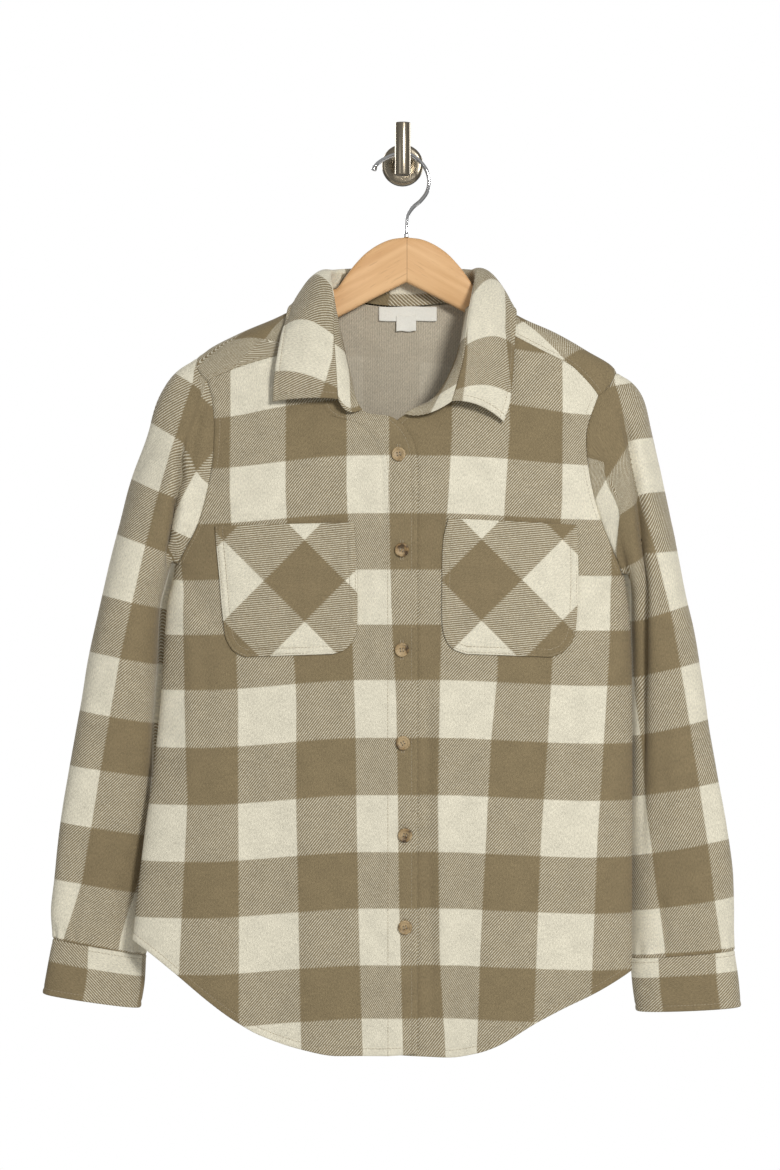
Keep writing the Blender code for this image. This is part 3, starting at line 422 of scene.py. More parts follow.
def checkMaterial(name, reverse):
    # Where the warp's and the weft's blocks differ, the twill shows as fine pale slanting lines.
    # On the reverse the yarns float the other way and the blocks hardly show.
    material, tree, shader = startMaterial(name, 0.92)
    layer = nodeAt(tree, "ShaderNodeUVMap", uv_map="check").outputs["UV"]
    parts = nodeAt(tree, "ShaderNodeSeparateXYZ")
    tree.links.new(layer, parts.inputs[0])
    u, v = parts.outputs[0], parts.outputs[1]
    linesDown = times(tree, v, block / clothLook["twill down"])
    slant = plus(tree, times(tree, u, block / clothLook["twill across"]), linesDown)
    wave = mathNode(tree, "FRACT", slant)
    uneven = minus(tree, noiseNode(tree, layer, 42.0, 3.0), 0.5)
    shiver = times(tree, uneven, clothLook["edge wobble"])
    step = times(tree, minus(tree, wave, 0.5), clothLook["edge step"])
    edgeU = plus(tree, plus(tree, u, shiver), step)
    edgeV = plus(tree, minus(tree, v, shiver), step)

    def band(coordinate):
        # 1 in every other block, 0 in those between
        halved = mathNode(tree, "FRACT", times(tree, plus(tree, coordinate, 200.0), 0.5))
        rise = smoothStep(tree, halved, 0.494, 0.506)
        fall = smoothStep(tree, halved, 0.994, 1.0)
        return minus(tree, rise, fall)

    warp, weft = band(edgeU), band(edgeV)
    both = times(tree, warp, weft)
    differ = mathNode(tree, "ABSOLUTE", minus(tree, warp, weft))
    wobble = plus(tree, wave, times(tree, uneven, 0.4))
    twill = smoothStep(tree, mathNode(tree, "ABSOLUTE", minus(tree, wobble, 0.5)), 0.24, 0.42)
    shown = plus(tree, times(tree, twill, clothLook["line strength"]), clothLook["line base"])
    pale = plus(tree, both, times(tree, differ, shown))
    colour = mixColours(tree, pale, clothLook["taupe"], clothLook["cream"])
    if reverse:
        ribs = mathNode(tree, "FRACT", times(tree, u, block / clothLook["reverse rib"]))
        ribs = smoothStep(tree, mathNode(tree, "ABSOLUTE", minus(tree, ribs, 0.5)), 0.1, 0.4)
        plain = mixColours(tree, ribs, clothLook["reverse"], clothLook["reverse low"])
        colour = mixColours(tree, clothLook["check on reverse"], plain, colour)
    stretched = nodeAt(tree, "ShaderNodeMapping")
    stretched.inputs["Scale"].default_value = (2.6, 1.0, 1.0)
    tree.links.new(layer, stretched.inputs["Vector"])
    streak = noiseNode(tree, stretched.outputs["Vector"], clothLook["streak scale"], 4.0)
    fine = noiseNode(tree, layer, clothLook["fine scale"], 4.0)
    cloud = noiseNode(tree, layer, clothLook["cloud scale"], 3.0)
    shade = clothLook["least shade"]
    for grain, strength in ((fine, "fine"), (streak, "streak"), (cloud, "cloud")):
        shade = plus(tree, times(tree, grain, clothLook[strength]), shade)
    tone = nodeAt(tree, "ShaderNodeVectorMath", operation="SCALE")
    tree.links.new(colour, tone.inputs[0])
    tree.links.new(shade, tone.inputs["Scale"])
    tree.links.new(tone.outputs[0], shader.inputs["Base Color"])
    height = plus(tree, times(tree, twill, 0.4), fine)
    height = plus(tree, height, times(tree, streak, 0.8))
    bumpInto(tree, shader, height, clothLook["bump"], 0.6)
    shader.inputs["Sheen Weight"].default_value = 0.12
    shader.inputs["Sheen Roughness"].default_value = 0.45
    shader.inputs["Specular IOR Level"].default_value = 0.15
    return material


def threadMaterial():
    material, tree, shader = startMaterial("sewing_thread", 0.7)
    tint = noiseNode(tree, objectPlace(tree), 900.0, 2.0)
    colour = mixColours(tree, tint, (0.34, 0.275, 0.18), (0.50, 0.43, 0.31))
    tree.links.new(colour, shader.inputs["Base Color"])
    bumpInto(tree, shader, tint, 0.0002, 0.4)
    return material


checkOut = checkMaterial("check_face", False)
checkIn = checkMaterial("check_reverse", True)
thread = threadMaterial()

# Shells


def gridNormals(points, closed):
    # Directions across a grid of points, from its own slopes.
    if closed:
        wrapped = np.concatenate([points[:, -1:], points, points[:, :1]], axis=1)
        along = wrapped[:, 2:] - wrapped[:, :-2]
    else:
        along = np.gradient(points, axis=1)
    down = np.gradient(points, axis=0)
    return unit(np.cross(down, along))


def facingLike(points, closed, old):
    # Directions across a grid, on the same side of the cloth as the old ones
    fresh = gridNormals(points, closed)
    return fresh * np.sign((fresh * old).sum(-1, keepdims=True))


def spacing(length, near, far, count):
    # Shares of a length with places at set distances from its ends and even ones between.
    length = np.asarray(length, float)[..., None]
    first = np.asarray(near, float) / length
    last = 1 - np.asarray(far, float)[::-1] / length
    share = np.linspace(0, 1, count + 2)[1:-1]
    middle = first[..., -1:] + (last[..., :1] - first[..., -1:]) * share
    return np.concatenate([first, middle, last], axis=-1)


def runningLength(points, axis):
    steps = np.linalg.norm(np.diff(points, axis=axis), axis=-1)
    total = np.cumsum(steps, axis=axis)
    start = np.zeros_like(np.take(total, [0], axis=axis))
    return np.concatenate([start, total], axis=axis)


def borderDistances(points):
    # Distance of every point from each border of its grid.
    across = runningLength(points, 1)
    down = runningLength(points, 0)
    return {
        "first column": across,
        "last column": across[:, -1:] - across,
        "first row": down,
        "last row": down[-1:, :] - down,
    }


def roundOff(distance, radius):
    near = 1 - np.clip(distance / radius, 0, 1)
    return np.sqrt(np.maximum(1 - near * near, 0.0))


def trackAt(points, distances, wanted, rows):
    # The line of points at a set distance from a border.
    made = []
    count = points.shape[0] if rows else points.shape[1]
    for i in range(count):
        line = points[i] if rows else points[:, i]
        reach = distances[i] if rows else distances[:, i]
        order = np.argsort(reach)
        made.append([np.interp(wanted, reach[order], line[order][:, k]) for k in range(3)])
    return np.array(made)


sewing = {
    "pitch": 3.2,
    "stitch": 2.7,
    "thread radius": 0.26,
    "buttonhole": (0.9, 1.3, 0.42),  # pitch, stitch and thread radius
    "along edges": 5.8,  # distances from the edge of the cloth
    "along hem": 7.0,
    "along seams": 4.2,
    "placket's inner edge": 28.2,
    "pocket": (1.8, 7.2),
}


def stitchesInto(builder, track, normals, pitch, stitch, radius):
    # A row of sewing stitches along a line of points, each a small lozenge half sunk in the cloth
    lengths = runningLength(track, 0)
    made = bmesh.new()
    for place in np.arange(pitch / 2, lengths[-1] - pitch / 2, pitch):
        middle, ahead, out = (
            np.array([np.interp(at, lengths, line[:, k]) for k in range(3)])
            for at, line in ((place, track), (place + 1.2, track), (place, normals))
        )
        along = unit(ahead - middle)
        side = unit(np.cross(along, unit(out)))
        up = np.cross(side, along)
        turn = Matrix(np.stack([side * radius, up * radius, along * stitch / 2], axis=1).tolist())
        spot = Matrix.Translation(Vector(middle + up * 0.06)) @ turn.to_4x4()
        bmesh.ops.create_uvsphere(made, u_segments=6, v_segments=5, radius=1.0, matrix=spot)
    addThread(builder, made)


def addThread(builder, made):
    # Join finished thread to a piece, in the piece's third material
    bmesh.ops.recalc_face_normals(made, faces=made.faces)
    for face in made.faces:
        face.material_index = 2
    joinInto(builder, made)


def joinInto(builder, made):
    data = bpy.data.meshes.new("joined")
    made.to_mesh(data)
    made.free()
    builder.from_mesh(data)
    bpy.data.meshes.remove(data)


def objectFrom(name, builder):
    # Turn a finished bmesh into an object
    mesh = bpy.data.meshes.new(name)
    builder.to_mesh(mesh)
    builder.free()
    made = bpy.data.objects.new(name, mesh)
    bpy.context.collection.objects.link(made)
    return made


def gridInto(builder, points, closed=False):
    # A grid bent onto rows of points. A closed one has its last column joined to its first.
    if closed:
        points = np.concatenate([points, points[:, :1]], axis=1)
    rows, columns = points.shape[:2]
    first = len(builder.verts)
    bmesh.ops.create_grid(builder, x_segments=columns - 1, y_segments=rows - 1, size=1.0)
    builder.verts.ensure_lookup_table()
    verts = builder.verts[first:]
    for vert, place in zip(verts, points.reshape(-1, 3)):
        vert.co = place
    return [verts[r * columns : (r + 1) * columns] for r in range(rows)]


def weldSides(builder, grid):
    bmesh.ops.remove_doubles(builder, verts=[row[c] for row in grid for c in (0, -1)], dist=0.0005)


def openEdges(rows):
    kept = {vert for row in rows for vert in row if vert.is_valid}
    edges = {edge for vert in kept for edge in vert.link_edges if edge.is_boundary}
    return [edge for edge in edges if edge.verts[0] in kept and edge.verts[1] in kept]


def turnWith(faces):
    # Make new faces run the same way round as the older faces beside them
    fresh = set(faces)
    for face in faces:
        for loop in face.loops:
            other = loop.link_loop_radial_next
            if other.face not in fresh and other.vert == loop.vert:
                face.normal_flip()
                break


def shellInto(builder, outerPoints, innerPoints, closed=False, blocks=None):
    # Two grids, one on each side of the cloth, joined round their open edges
    layer = builder.loops.layers.uv.new("check")
    outer = gridInto(builder, outerPoints, closed)
    outerCount = len(builder.faces)
    inner = gridInto(builder, innerPoints, closed)
    builder.faces.ensure_lookup_table()
    if blocks is not None:
        flat = blocks.reshape(-1, 2)
        wide = {vert: flat[i % len(flat)] for i, vert in enumerate(builder.verts)}
        for face in builder.faces:
            for loop in face.loops:
                loop[layer].uv = wide[loop.vert]
    sides = (builder.faces[:outerCount], builder.faces[outerCount:])
    builder.normal_update()
    middle = outerCount // 2
    row, column = divmod(middle, outerPoints.shape[1] - (0 if closed else 1))
    outwards = outerPoints[row, column] - innerPoints[row, column]
    wrong = 0 if np.array(sides[0][middle].normal) @ outwards < 0 else 1
    bmesh.ops.reverse_faces(builder, faces=sides[wrong])
    for face in sides[1]:
        face.material_index = 1
    if closed:
        weldSides(builder, outer)
        weldSides(builder, inner)
        rims = (openEdges((outer[0], inner[0])), openEdges((outer[-1], inner[-1])))
    else:
        rims = ([edge for edge in builder.edges if edge.is_boundary],)
    nearby = {loop.vert: loop[layer].uv.copy() for face in builder.faces for loop in face.loops}
    for rim in rims:
        made = bmesh.ops.bridge_loops(builder, edges=rim)["faces"]
        turnWith(made)
        for face in made:
            face.material_index = 0
            for loop in face.loops:
                loop[layer].uv = nearby[loop.vert]


def finishPiece(name, builder, materials, nodes):
    # Turn a bmesh in millimetres into a piece in metres that stands for CAD nodes
    bmesh.ops.scale(builder, vec=(metres,) * 3, verts=builder.verts)
    piece = objectFrom(name, builder)
    piece.data.shade_smooth()
    for material in materials:
        piece.data.materials.append(material)
    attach(piece, "root")
    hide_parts(*nodes)
    return piece


def clothShell(
    name, nodes, points, normals, blocks, borders, closed=False, outer=outerHalf, inner=innerHalf,
    seams=(), distances=None, tracks=(), faces=None,
):
    # A shell of cloth. borders names how each edge is finished: a seam rolls under on the
    # outside only, a hem is rounded on both sides. seams are (border, distance) stitch lines.
    distances = distances or borderDistances(points)
    outside = np.full(points.shape[:2], float(outer))
    inside = np.full(points.shape[:2], float(inner))
    for border, finish in borders.items():
        reach = distances[border]
        if finish == "hem":
            outside = outside * roundOff(reach, 1.6) + 0.35 * bell(reach - 3.2, 2.5)
            inside = inside * roundOff(reach, 1.2)
        if finish == "seam":
            outside = outside * (0.1 + 0.9 * roundOff(reach, 2.2)) + 0.3 * bell(reach - 3.4, 2.0)
    for border, distance in seams:
        outside = outside - 0.55 * bell(distances[border] - distance, 1.3)
    outerPoints = points + normals * outside[..., None]
    innerPoints = points - normals * inside[..., None]
    builder = bmesh.new()
    shellInto(builder, outerPoints, innerPoints, closed, blocks)
    plainStitch = (sewing["pitch"], sewing["stitch"], sewing["thread radius"])
    for border, distance in seams:
        if border == "outline":
            continue
        byRow = "column" in border
        track = trackAt(outerPoints, distances[border], distance, byRow)
        facing = trackAt(normals, distances[border], distance, byRow)
        stitchesInto(builder, track, facing, *plainStitch)
    for track, facing, *other in tracks:
        stitchesInto(builder, track, facing, *(other or plainStitch))
    piece = finishPiece(name, builder, faces or (checkOut, checkIn, thread), nodes)
    if closed:
        points = np.concatenate([points, points[:, :1]], axis=1)


# Where the columns and rows of a grid lie beside a stitched edge, a seam and the placket
edgePlaces = (0, 0.25, 0.7, 1.3, 2.1, 3.2, 4.6, 5.8, 7.0, 8.6)
seamPlaces = (0, 0.4, 1.0, 1.8, 2.8, 4.2, 5.8, 7.4)
placketPlaces = edgePlaces[:9] + (9, 12, 15.5, 19, 22.5, 25, 26.6, 28, 29.4, 30.6, 31.4, 32.2, 33.2, 35)

# Fronts

buttonPlaces = ((-4, 283), (-1, 373), (-1, 467), (0, 555), (2, 642), (2, 729))


def frontDomain(edge, edgeX, hem, armhole, sideTurn, sideEnd):
    # Turn and drop over a front panel: rows from the hem up, columns from the front edge.
    underarm, hemDrop = armhole[0][1], hem["drop"][0]
    height = hemDrop - edge[0][1]
    sideShares = spacing(height, edgePlaces, (0,), int(height / 4))
    armShares = spacing(190.0, (4.0,), seamPlaces, 42)
    startLow = onBody(edgeX, hemDrop + (edge[0][1] - hemDrop) * sideShares)
    sideDrops = sideEnd + (underarm - sideEnd) * sideShares
    endLow = np.stack([np.full(len(sideShares), float(sideTurn)), sideDrops], -1)
    startHigh = onBody(*curveThrough(edge, armShares).T)
    endHigh = onBody(*curveThrough(armhole, armShares).T)
    starts = np.concatenate([startLow, startHigh])
    ends = np.concatenate([endLow, endHigh])
    widths = np.abs(bodyPoint(*starts.T)[:, 0] - bodyPoint(*ends.T)[:, 0]) + 4
    shares = spacing(widths, placketPlaces, seamPlaces, 54)
    hemShare = np.concatenate([1 - sideShares, np.zeros(len(armShares))])[:, None]
    domain = starts[:, None] + (ends - starts)[:, None] * shares[..., None]
    straight = starts[0] + (ends[0] - starts[0]) * shares[..., None]
    hemX = bodyPoint(straight[..., 0], straight[..., 1])[..., 0]
    wanted = smoothRead([abs(x - edgeX) for x in hem["x"]], hem["drop"], np.abs(hemX - edgeX))
    domain[..., 1] += (wanted - straight[..., 1]) * hemShare
    return domain


def buildFront(name, domain, topLayer):
    turn, drop = domain[..., 0], domain[..., 1]
    points, normals = bodyPoint(turn, drop), bodyNormal(turn, drop)
    x = points[..., 0]
    relief = bodyRelief(turn, drop)
    lift = liftOf(x, topLayer)
    if topLayer:
        fromEdge = runningLength(points, 1)
        raised = 0.75 * (1 - ease(31.2, 32.4, fromEdge)) + 0.5 * bell(fromEdge - 30, 1.6)
        lift = lift + raised - 0.45 * bell(fromEdge - 33.2, 1.4)
        u = acrossLines(x, drop, rightLines, 0)
    else:
        u = acrossLines(x, drop, leftLines, 5)
    points = points + normals * (relief + lift)[..., None]
    normals = gridNormals(points, False)
    if (normals[..., 1].mean()) > 0:
        normals = -normals
    blocks = np.stack([u, rowsDown(x, drop)], axis=-1)
    borders = {"first row": "hem", "first column": "hem", "last row": "seam", "last column": "seam"}
    seams = [("first row", sewing["along hem"]), ("first column", sewing["along edges"])]
    armRows = slice(len(drop) - 50, len(drop) - 2)
    fromArm = borderDistances(points)["last column"]
    surface = points + normals * (outerHalf - 0.1)
    tracks = [[trackAt(grid, fromArm, sewing["along edges"], True)[armRows] for grid in (surface, normals)]]
    if topLayer:
        seams.append(("first column", sewing["placket's inner edge"]))
        for buttonX, buttonDrop in buttonPlaces:
            for side in (-1.15, 1.15):
                steps = np.linspace(-9.5, 9.5, 20)
                spots = np.array([(buttonX + side, buttonDrop + step) for step in steps])
                place = onBody(*spots.T)
                normal = bodyNormal(*place.T)
                height = outerHalf + 0.8 + liftOf(spots[:, 0], True) + bodyRelief(*place.T)
                track = bodyPoint(*place.T) + normal * height[:, None]
                tracks.append((track, normal, *sewing["buttonhole"]))
    clothShell(name + "_cloth", [name], points, normals, blocks, borders, seams=seams, tracks=tracks)


print("fronts")
rightDomain = frontDomain(edgeRight, placketEdge, hemRight, armholeRight, 0.0, sideEndRight)
leftDomain = frontDomain(edgeLeft, underEdge, hemLeft, armholeLeft, 2.0, sideEndLeft)
buildFront("right_front", rightDomain, True)
buildFront("left_front", leftDomain, False)

# Yoke and back


def yokeStations():
    backRight, backLeft = armholeBackRight[-1], armholeBackLeft[-1]
    inner = [
        onBody(*edgeRight[-1]),
        (0.0, 128.0),
        onBody(-50, 134, False),
        (-1.0, 139.0),
        onBody(48, 135, False),
        (-2.0, 128.5),
        onBody(*edgeLeft[-1]) - (4.0, 0.0),
    ]
    outer = [
        onBody(*armholeRight[-1]),
        (0.0, 191.0),
        onBody(*backRight, False),
        (-1.0, 268.0),
        onBody(*backLeft, False),
        (-2.0, 205.0),
        onBody(*armholeLeft[-1]) - (4.0, 0.0),
    ]
    return np.array(inner, float), np.array(outer, float)


yokeInner, yokeOuter = yokeStations()
shoulderX = (-204, -155, -120, -88, -56, 0, 56, 87, 113, 146, 175, 202)
shoulderDrop = (200, 166, 151, 134, 120, 118, 120, 134, 151, 166, 182, 200)


def buildYoke():
    stations = spacing(300.0, seamPlaces, (0,), 30) / 6
    ends = 1 - stations[::-1]
    middle = np.linspace(stations[-1], ends[0], 150)
    along = np.concatenate([stations, middle[1:-1], ends])
    start, end = curveThrough(yokeInner, along), curveThrough(yokeOuter, along)
    across = spacing(120.0, (0, 1.5), seamPlaces, 26)
    domain = start[:, None] + (end - start)[:, None] * across[None, :, None]
    turn, drop = domain[..., 0], domain[..., 1]
    points, normals = bodyPoint(turn, drop), bodyNormal(turn, drop)
    x = points[..., 0]
    points = points + normals * bodyRelief(turn, drop)[..., None]
    ridge = np.interp(x, shoulderX, shoulderDrop)
    running = runningLength(points, 0)
    ridges = [int(np.argmin(np.abs(along - place / 6))) for place in (1, 5)]
    fromRidge = np.where(x < 0, running[ridges[0]] - running, running - running[ridges[1]])
    ahead = np.sin(turn * math.pi / 2) > 0
    level = np.where(ahead, ridge - np.maximum(fromRidge, 0), drop)
    slide = 0.8 * np.where(ahead, np.maximum(fromRidge, 0), 0) * np.sign(x)
    u = (x + slide - 124.5) / block + 3
    v = (level - 160) / block + 2.38 + 0.15 * ease(60, -60, x)
    # The yoke's right end lies a little off the grain
    away = np.maximum(fromRidge, 0)
    share = np.where(ahead & (x < 0), ease(0, 8, away), 0) * ease(-70, -95, x)
    u = u + share * (42.5 * ease(0, 20, away) - 0.7 * away) / block
    aside = 0.35 * np.maximum(-131 - x, 0) - 1.05 * np.maximum(x + 131, 0)
    tilted = 2 + (38 - away + aside) / block
    tilted = np.where(u < -2, np.maximum(tilted, 2.02), tilted)
    v = v + (tilted - v) * share
    blocks = np.stack([u, v], axis=-1)
    borders = {"first row": "seam", "last row": "seam", "last column": "seam"}
    seams = [("first row", sewing["along seams"]), ("last row", sewing["along seams"])]
    clothShell("yoke_cloth", ["yoke"], points, normals, blocks, borders, seams=seams)


def backDomain():
    height = 480.0
    sideShares = spacing(height, edgePlaces, (0,), 100)
    armShares = spacing(130.0, (4.0,), seamPlaces, 30)
    underRight, underLeft = armholeBackRight[0][1], armholeBackLeft[0][1]
    rightLow = np.stack([0 * sideShares, sideEndRight + (underRight - sideEndRight) * sideShares], -1)
    leftLow = np.stack([0 * sideShares - 2, sideEndLeft + (underLeft - sideEndLeft) * sideShares], -1)
    rightHigh = onBody(*curveThrough(armholeBackRight, armShares).T, front=False)
    leftHigh = onBody(*curveThrough(armholeBackLeft, armShares).T, front=False)
    starts = np.concatenate([rightLow, rightHigh])
    ends = np.concatenate([leftLow, leftHigh])
    shares = spacing(440.0, seamPlaces, seamPlaces, 110)
    hemShare = np.concatenate([1 - sideShares, 0 * armShares])[:, None]
    topShare = np.concatenate([0 * sideShares, armShares])[:, None, None]
    domain = starts[:, None] + (ends - starts)[:, None] * shares[None, :, None]
    straight = starts[0] + (ends[0] - starts[0]) * shares[:, None]
    hemX = bodyPoint(straight[:, 0], straight[:, 1])[:, 0] - hemBack["x"][0]
    wanted = smoothRead([x - hemBack["x"][0] for x in hemBack["x"]], hemBack["drop"], hemX)
    domain[..., 1] += (wanted - straight[:, 1])[None, :] * hemShare
    top = curveThrough(yokeOuter, (2 + 2 * shares) / 6)
    straightTop = starts[-1] + (ends[-1] - starts[-1]) * shares[:, None]
    return domain + (top - straightTop)[None] * topShare


def buildBack():
    domain = backDomain()
    turn, drop = domain[..., 0], domain[..., 1]
    points, normals = bodyPoint(turn, drop), bodyNormal(turn, drop)
    x = points[..., 0]
    points = points + normals * bodyRelief(turn, drop)[..., None]
    u = (x + 4 - 0.018 * (drop - 300) * np.sign(x) * ease(20, 200, np.abs(x))) / block + 0.5
    blocks = np.stack([u, rowsDown(x, drop)], axis=-1)
    borders = {"first row": "hem", "first column": "seam", "last column": "seam", "last row": "seam"}
    seams = [("first row", sewing["along hem"])]
    clothShell("back_cloth", ["back"], points, normals, blocks, borders, seams=seams)


print("yoke and back")
buildYoke()
buildBack()

# Sleeves and cuffs
#
# Pins marked True are far from the rest of the sleeve's check and are laid on their own.

sleeveRight = {
    "along": (0, 0.6, 1.2, 2, 3, 4, 5, 6.2, 7.4, 8.6, 9.8, 11, 12, 13),
    "inner x": (-215, -219, -221.5, -223, -225, -228, -233, -236, -240, -241, -243, -246, -247, -248),
    "inner drop": (386, 385, 387, 391, 397, 406, 427, 480, 537, 591, 647, 700, 735, 762),
    "outer x": (-204, -224, -238, -248, -261, -274, -287, -298, -308, -318, -327, -333, -336, -334),
    "outer drop": (191, 205, 230, 267, 307, 362, 417, 468, 526, 581, 634, 688, 721, 745),
    "inner y": (-44, -44, -43, -42, -41, -40, -38, -35, -31, -26, -20, -16, -14.5, -14),
    "outer y": (-38.5, -39, -40, -41, -41, -41, -41, -40, -38, -35, -32, -30, -29, -29),
    "half depth": (25, 27, 29, 31, 32, 32, 31, 28, 25, 22, 18, 16, 15, 15),
    "line": (
        (-205, 212), (-217.3, 265.4), (-230.6, 317.7), (-243, 368), (-256.3, 423.1), (-267.7, 474.4),
        (-278.1, 531.4), (-287.6, 582.7), (-297.1, 636.9), (-306.6, 691), (-323.7, 743.3), (-336, 800),
    ),
    "rows": (212, 265.4, 318.1, 368.5, 423.1, 475.4, 531.4, 582.7, 637.8, 692, 745.2, 799),
    "slope": (0.6, 0.55, 0.37, 0.34, 0.22, 0.19, 0.18, 0.15, 0.16, 0.165, 0.2, 0.2),
    "creases": (
        (((-190, 235), (-197, 262), (-201, 290), (-200, 320)), 6, -2.6),
        (
            ((-205, 262), (-210.6, 283), (-209.5, 304), (-213.5, 319.5), (-217, 346), (-220, 383), (-223, 430)),
            4.2, -9.5,
        ),
        (((-214, 262), (-220, 310), (-232, 352)), 9, 1.8),
        (((-232, 400), (-250, 440), (-272, 470)), 11, -2.0),
        (((-240, 420), (-262, 470), (-284, 520)), 11, 1.6),
        (((-252, 520), (-264, 560), (-262, 620)), 12, -1.6),
        (((-276, 440), (-286, 540), (-296, 640)), 11, -1.4),
        (((-262, 640), (-280, 690), (-290, 745)), 10, 1.5),
        (((-306, 640), (-312, 700), (-318, 745)), 8, -1.4),
        (((-264, 706), (-268, 735), (-268, 758)), 6, -1.6),
    ),
    "pins": (
        (
            ((-189, 215), (-196.6, 240), (-210, 283), (-208.7, 304), (-212.9, 319.5), (-216.5, 346), (-218, 383)),
            (
                (-194.5, 297.7, 1, 1), (-181.2, 282.5, 1, 0.6), (-208.8, 325, 1, 1.55), (-214, 350, 1.05, 1.9),
                (-208.8, 273, 0.6, 1), (-187, 311, 1.3, 1), (-200, 345, 1.4, 1.85), (-190, 325, 1.4, 1.5),
                (-214, 372, 1.1, 2.3), (-206, 366, 1.3, 2.1), (-211, 386, 1.2, 2.7), (-183, 262, 0.75, 0.4),
            ),
            True,
        ),
    ),
    "behind": ((0, 0.6, 2.0, 8.2, 10.4, 13), (0, 5, 33, 33, 6, 0)),
}
sleeveLeft = {
    "along": (0, 0.6, 1.2, 2, 3, 4, 5, 6.2, 7.4, 8.6, 9.8, 11, 12, 13),
    "inner x": (210, 213.5, 216, 217.5, 219, 220, 220.5, 221, 221, 221, 221, 221, 221, 220),
    "inner drop": (396, 395, 397, 401, 407, 415, 430, 480, 537, 591, 646, 699, 738, 764),
    "outer x": (208, 222, 233, 241, 250, 260, 269, 281, 290, 299, 309, 316, 317, 317),
    "outer drop": (207, 215, 230, 264, 308, 361, 413, 468, 526, 581, 634, 688, 724, 756),
    "inner y": (-44, -44, -43, -42, -40, -37, -33, -28, -26, -25, -24, -24, -24, -24),
    "outer y": (-38.5, -39, -40, -41, -41, -41, -41, -40, -39, -37, -35, -33, -32, -31),
    "half depth": (25, 27, 29, 31, 32, 31, 29, 26, 24, 22, 21, 20, 19.5, 19),
    "line": (
        (207, 215), (217.8, 268.3), (225.4, 320.5), (239.7, 375.6), (255.8, 439.3), (263.4, 482),
        (272.9, 539), (282.4, 597.9), (291, 653), (297.6, 707.2), (304.3, 752.8), (310, 800),
    ),
    "rows": (216, 268.3, 320.5, 375.6, 431, 484, 539, 597.9, 653, 707.2, 754, 808),
    "slope": (-0.2, -0.13, -0.13, -0.08, -0.3, -0.23, -0.23, -0.17, -0.18, -0.16, -0.077, -0.077),
    "creases": (
        (((206, 236), (216, 268), (224, 327), (227.5, 387), (228, 450), (228, 560), (231, 700)), 5.0, -9.5),
        (((214, 250), (222, 300), (236, 350)), 10, 1.8),
        (((240, 420), (241, 520), (243, 640)), 7, 1.4),
        (((254, 430), (256, 520), (262, 620), (268, 720)), 12, 2.0),
        (((226, 420), (225, 520), (226, 640)), 6, 1.8),
        (((256, 360), (272, 400), (276, 440)), 10, -1.6),
        (((284, 520), (292, 600), (300, 680)), 11, -1.5),
        (((276, 640), (282, 700), (284, 756)), 8, 1.5),
        (((246, 700), (250, 735), (252, 762)), 6, -1.8),
    ),
    "pins": (
        (
            ((206, 230), (217, 268), (226, 327), (230.5, 387), (231, 420)),
            (
                (177.9, 292, 0, 0.6), (192.2, 308, 0, 1), (204.5, 325, 0, 1.5), (205.4, 339.5, 0, 2),
                (202.6, 393.6, 0, 3), (217.8, 270, 0.95, 1), (205, 365, 0, 2.5), (200, 285, 0.4, 0.86),
                (210, 300, 0.42, 1.25), (183.6, 322.7, -0.3, 1.02), (222, 318, 0.7, 1.85),
            ),
            False,
        ),
        (
            ((192, 300), (204.5, 325), (205.2, 342), (201.5, 388)),
            (
                (192.2, 308, 0, 1), (183.6, 322.7, -0.3, 1.02), (204, 345, -0.05, 1.75), (190, 330, -0.31, 1.2),
                (195, 345, -0.35, 1.5), (197, 360, -0.35, 1.7), (202, 372, -0.12, 1.9), (201, 385, -0.1, 1.97),
            ),
            True,
        ),
    ),
    "behind": ((0, 0.6, 2.0, 8.2, 10.4, 13), (0, 5, 31, 31, 12, 0)),
}
cuffRight = {
    "along": (0, 0.5, 1),
    "inner x": (-248, -250, -254),
    "inner drop": (762, 788, 813),
    "outer x": (-334, -339.5, -344),
    "outer drop": (745, 772, 798),
    "inner y": (-14, -14.5, -15.5),
    "outer y": (-29, -29, -29),
    "half depth": (15, 16, 16.5),
}
cuffLeft = {
    "along": (0, 0.5, 1),
    "inner x": (220, 222, 226),
    "inner drop": (764, 790, 815),
    "outer x": (317, 321, 323),
    "outer drop": (756, 783, 810),
    "inner y": (-24, -24, -24),
    "outer y": (-31, -31, -31),
    "half depth": (19, 20, 20.5),
}


def sectionEnds(table, along):
    ends = []
    for side in ("inner", "outer"):
        x = smoothRead(table["along"], table[side + " x"], along)
        y = smoothRead(table["along"], table[side + " y"], along)
        drop = smoothRead(table["along"], table[side + " drop"], along)
        ends.append(np.stack([x, y, -drop], axis=-1))
    return ends[0], ends[1], smoothRead(table["along"], table["half depth"], along)


def sectionPoint(table, along, angle):
    # Round a sleeve: angle 0 is the underarm side and a half turn the outer side.
    inner, outer, half = sectionEnds(table, along)
    across = -np.cos(angle)
    point = (inner + outer) / 2 + (outer - inner) / 2 * across[..., None]
    height = np.maximum(1 - np.abs(across) ** sleevePower, 0) ** (1 / sleevePower) * half
    point[..., 1] += np.where(np.sin(angle) > 0, -height, height)
    return point


def armholeRing(rightSide):
    # Turn and drop round one armhole, from the underarm up the front and down the back.
    front = armholeRight if rightSide else armholeLeft
    behind = armholeBackRight if rightSide else armholeBackLeft
    upFront = onBody(*curveThrough(front, np.linspace(0, 1, 60)).T)
    upFront[0] = (0.0 if rightSide else 2.0, front[0][1])
    over = np.concatenate([np.linspace(0, 1, 7)[1:] ** 0.8, 1 + np.linspace(0, 1, 11)[1:] ** 1.3]) / 6
    overYoke = curveThrough(yokeOuter, over if rightSide else 1 - over)
    downBack = onBody(*curveThrough(behind, np.linspace(1, 0, 19)[1:-1]).T, front=False)
    if not rightSide:
        upFront = upFront - (4.0, 0.0)
    return np.concatenate([upFront, overYoke, downBack]), 60 + 6 - 1


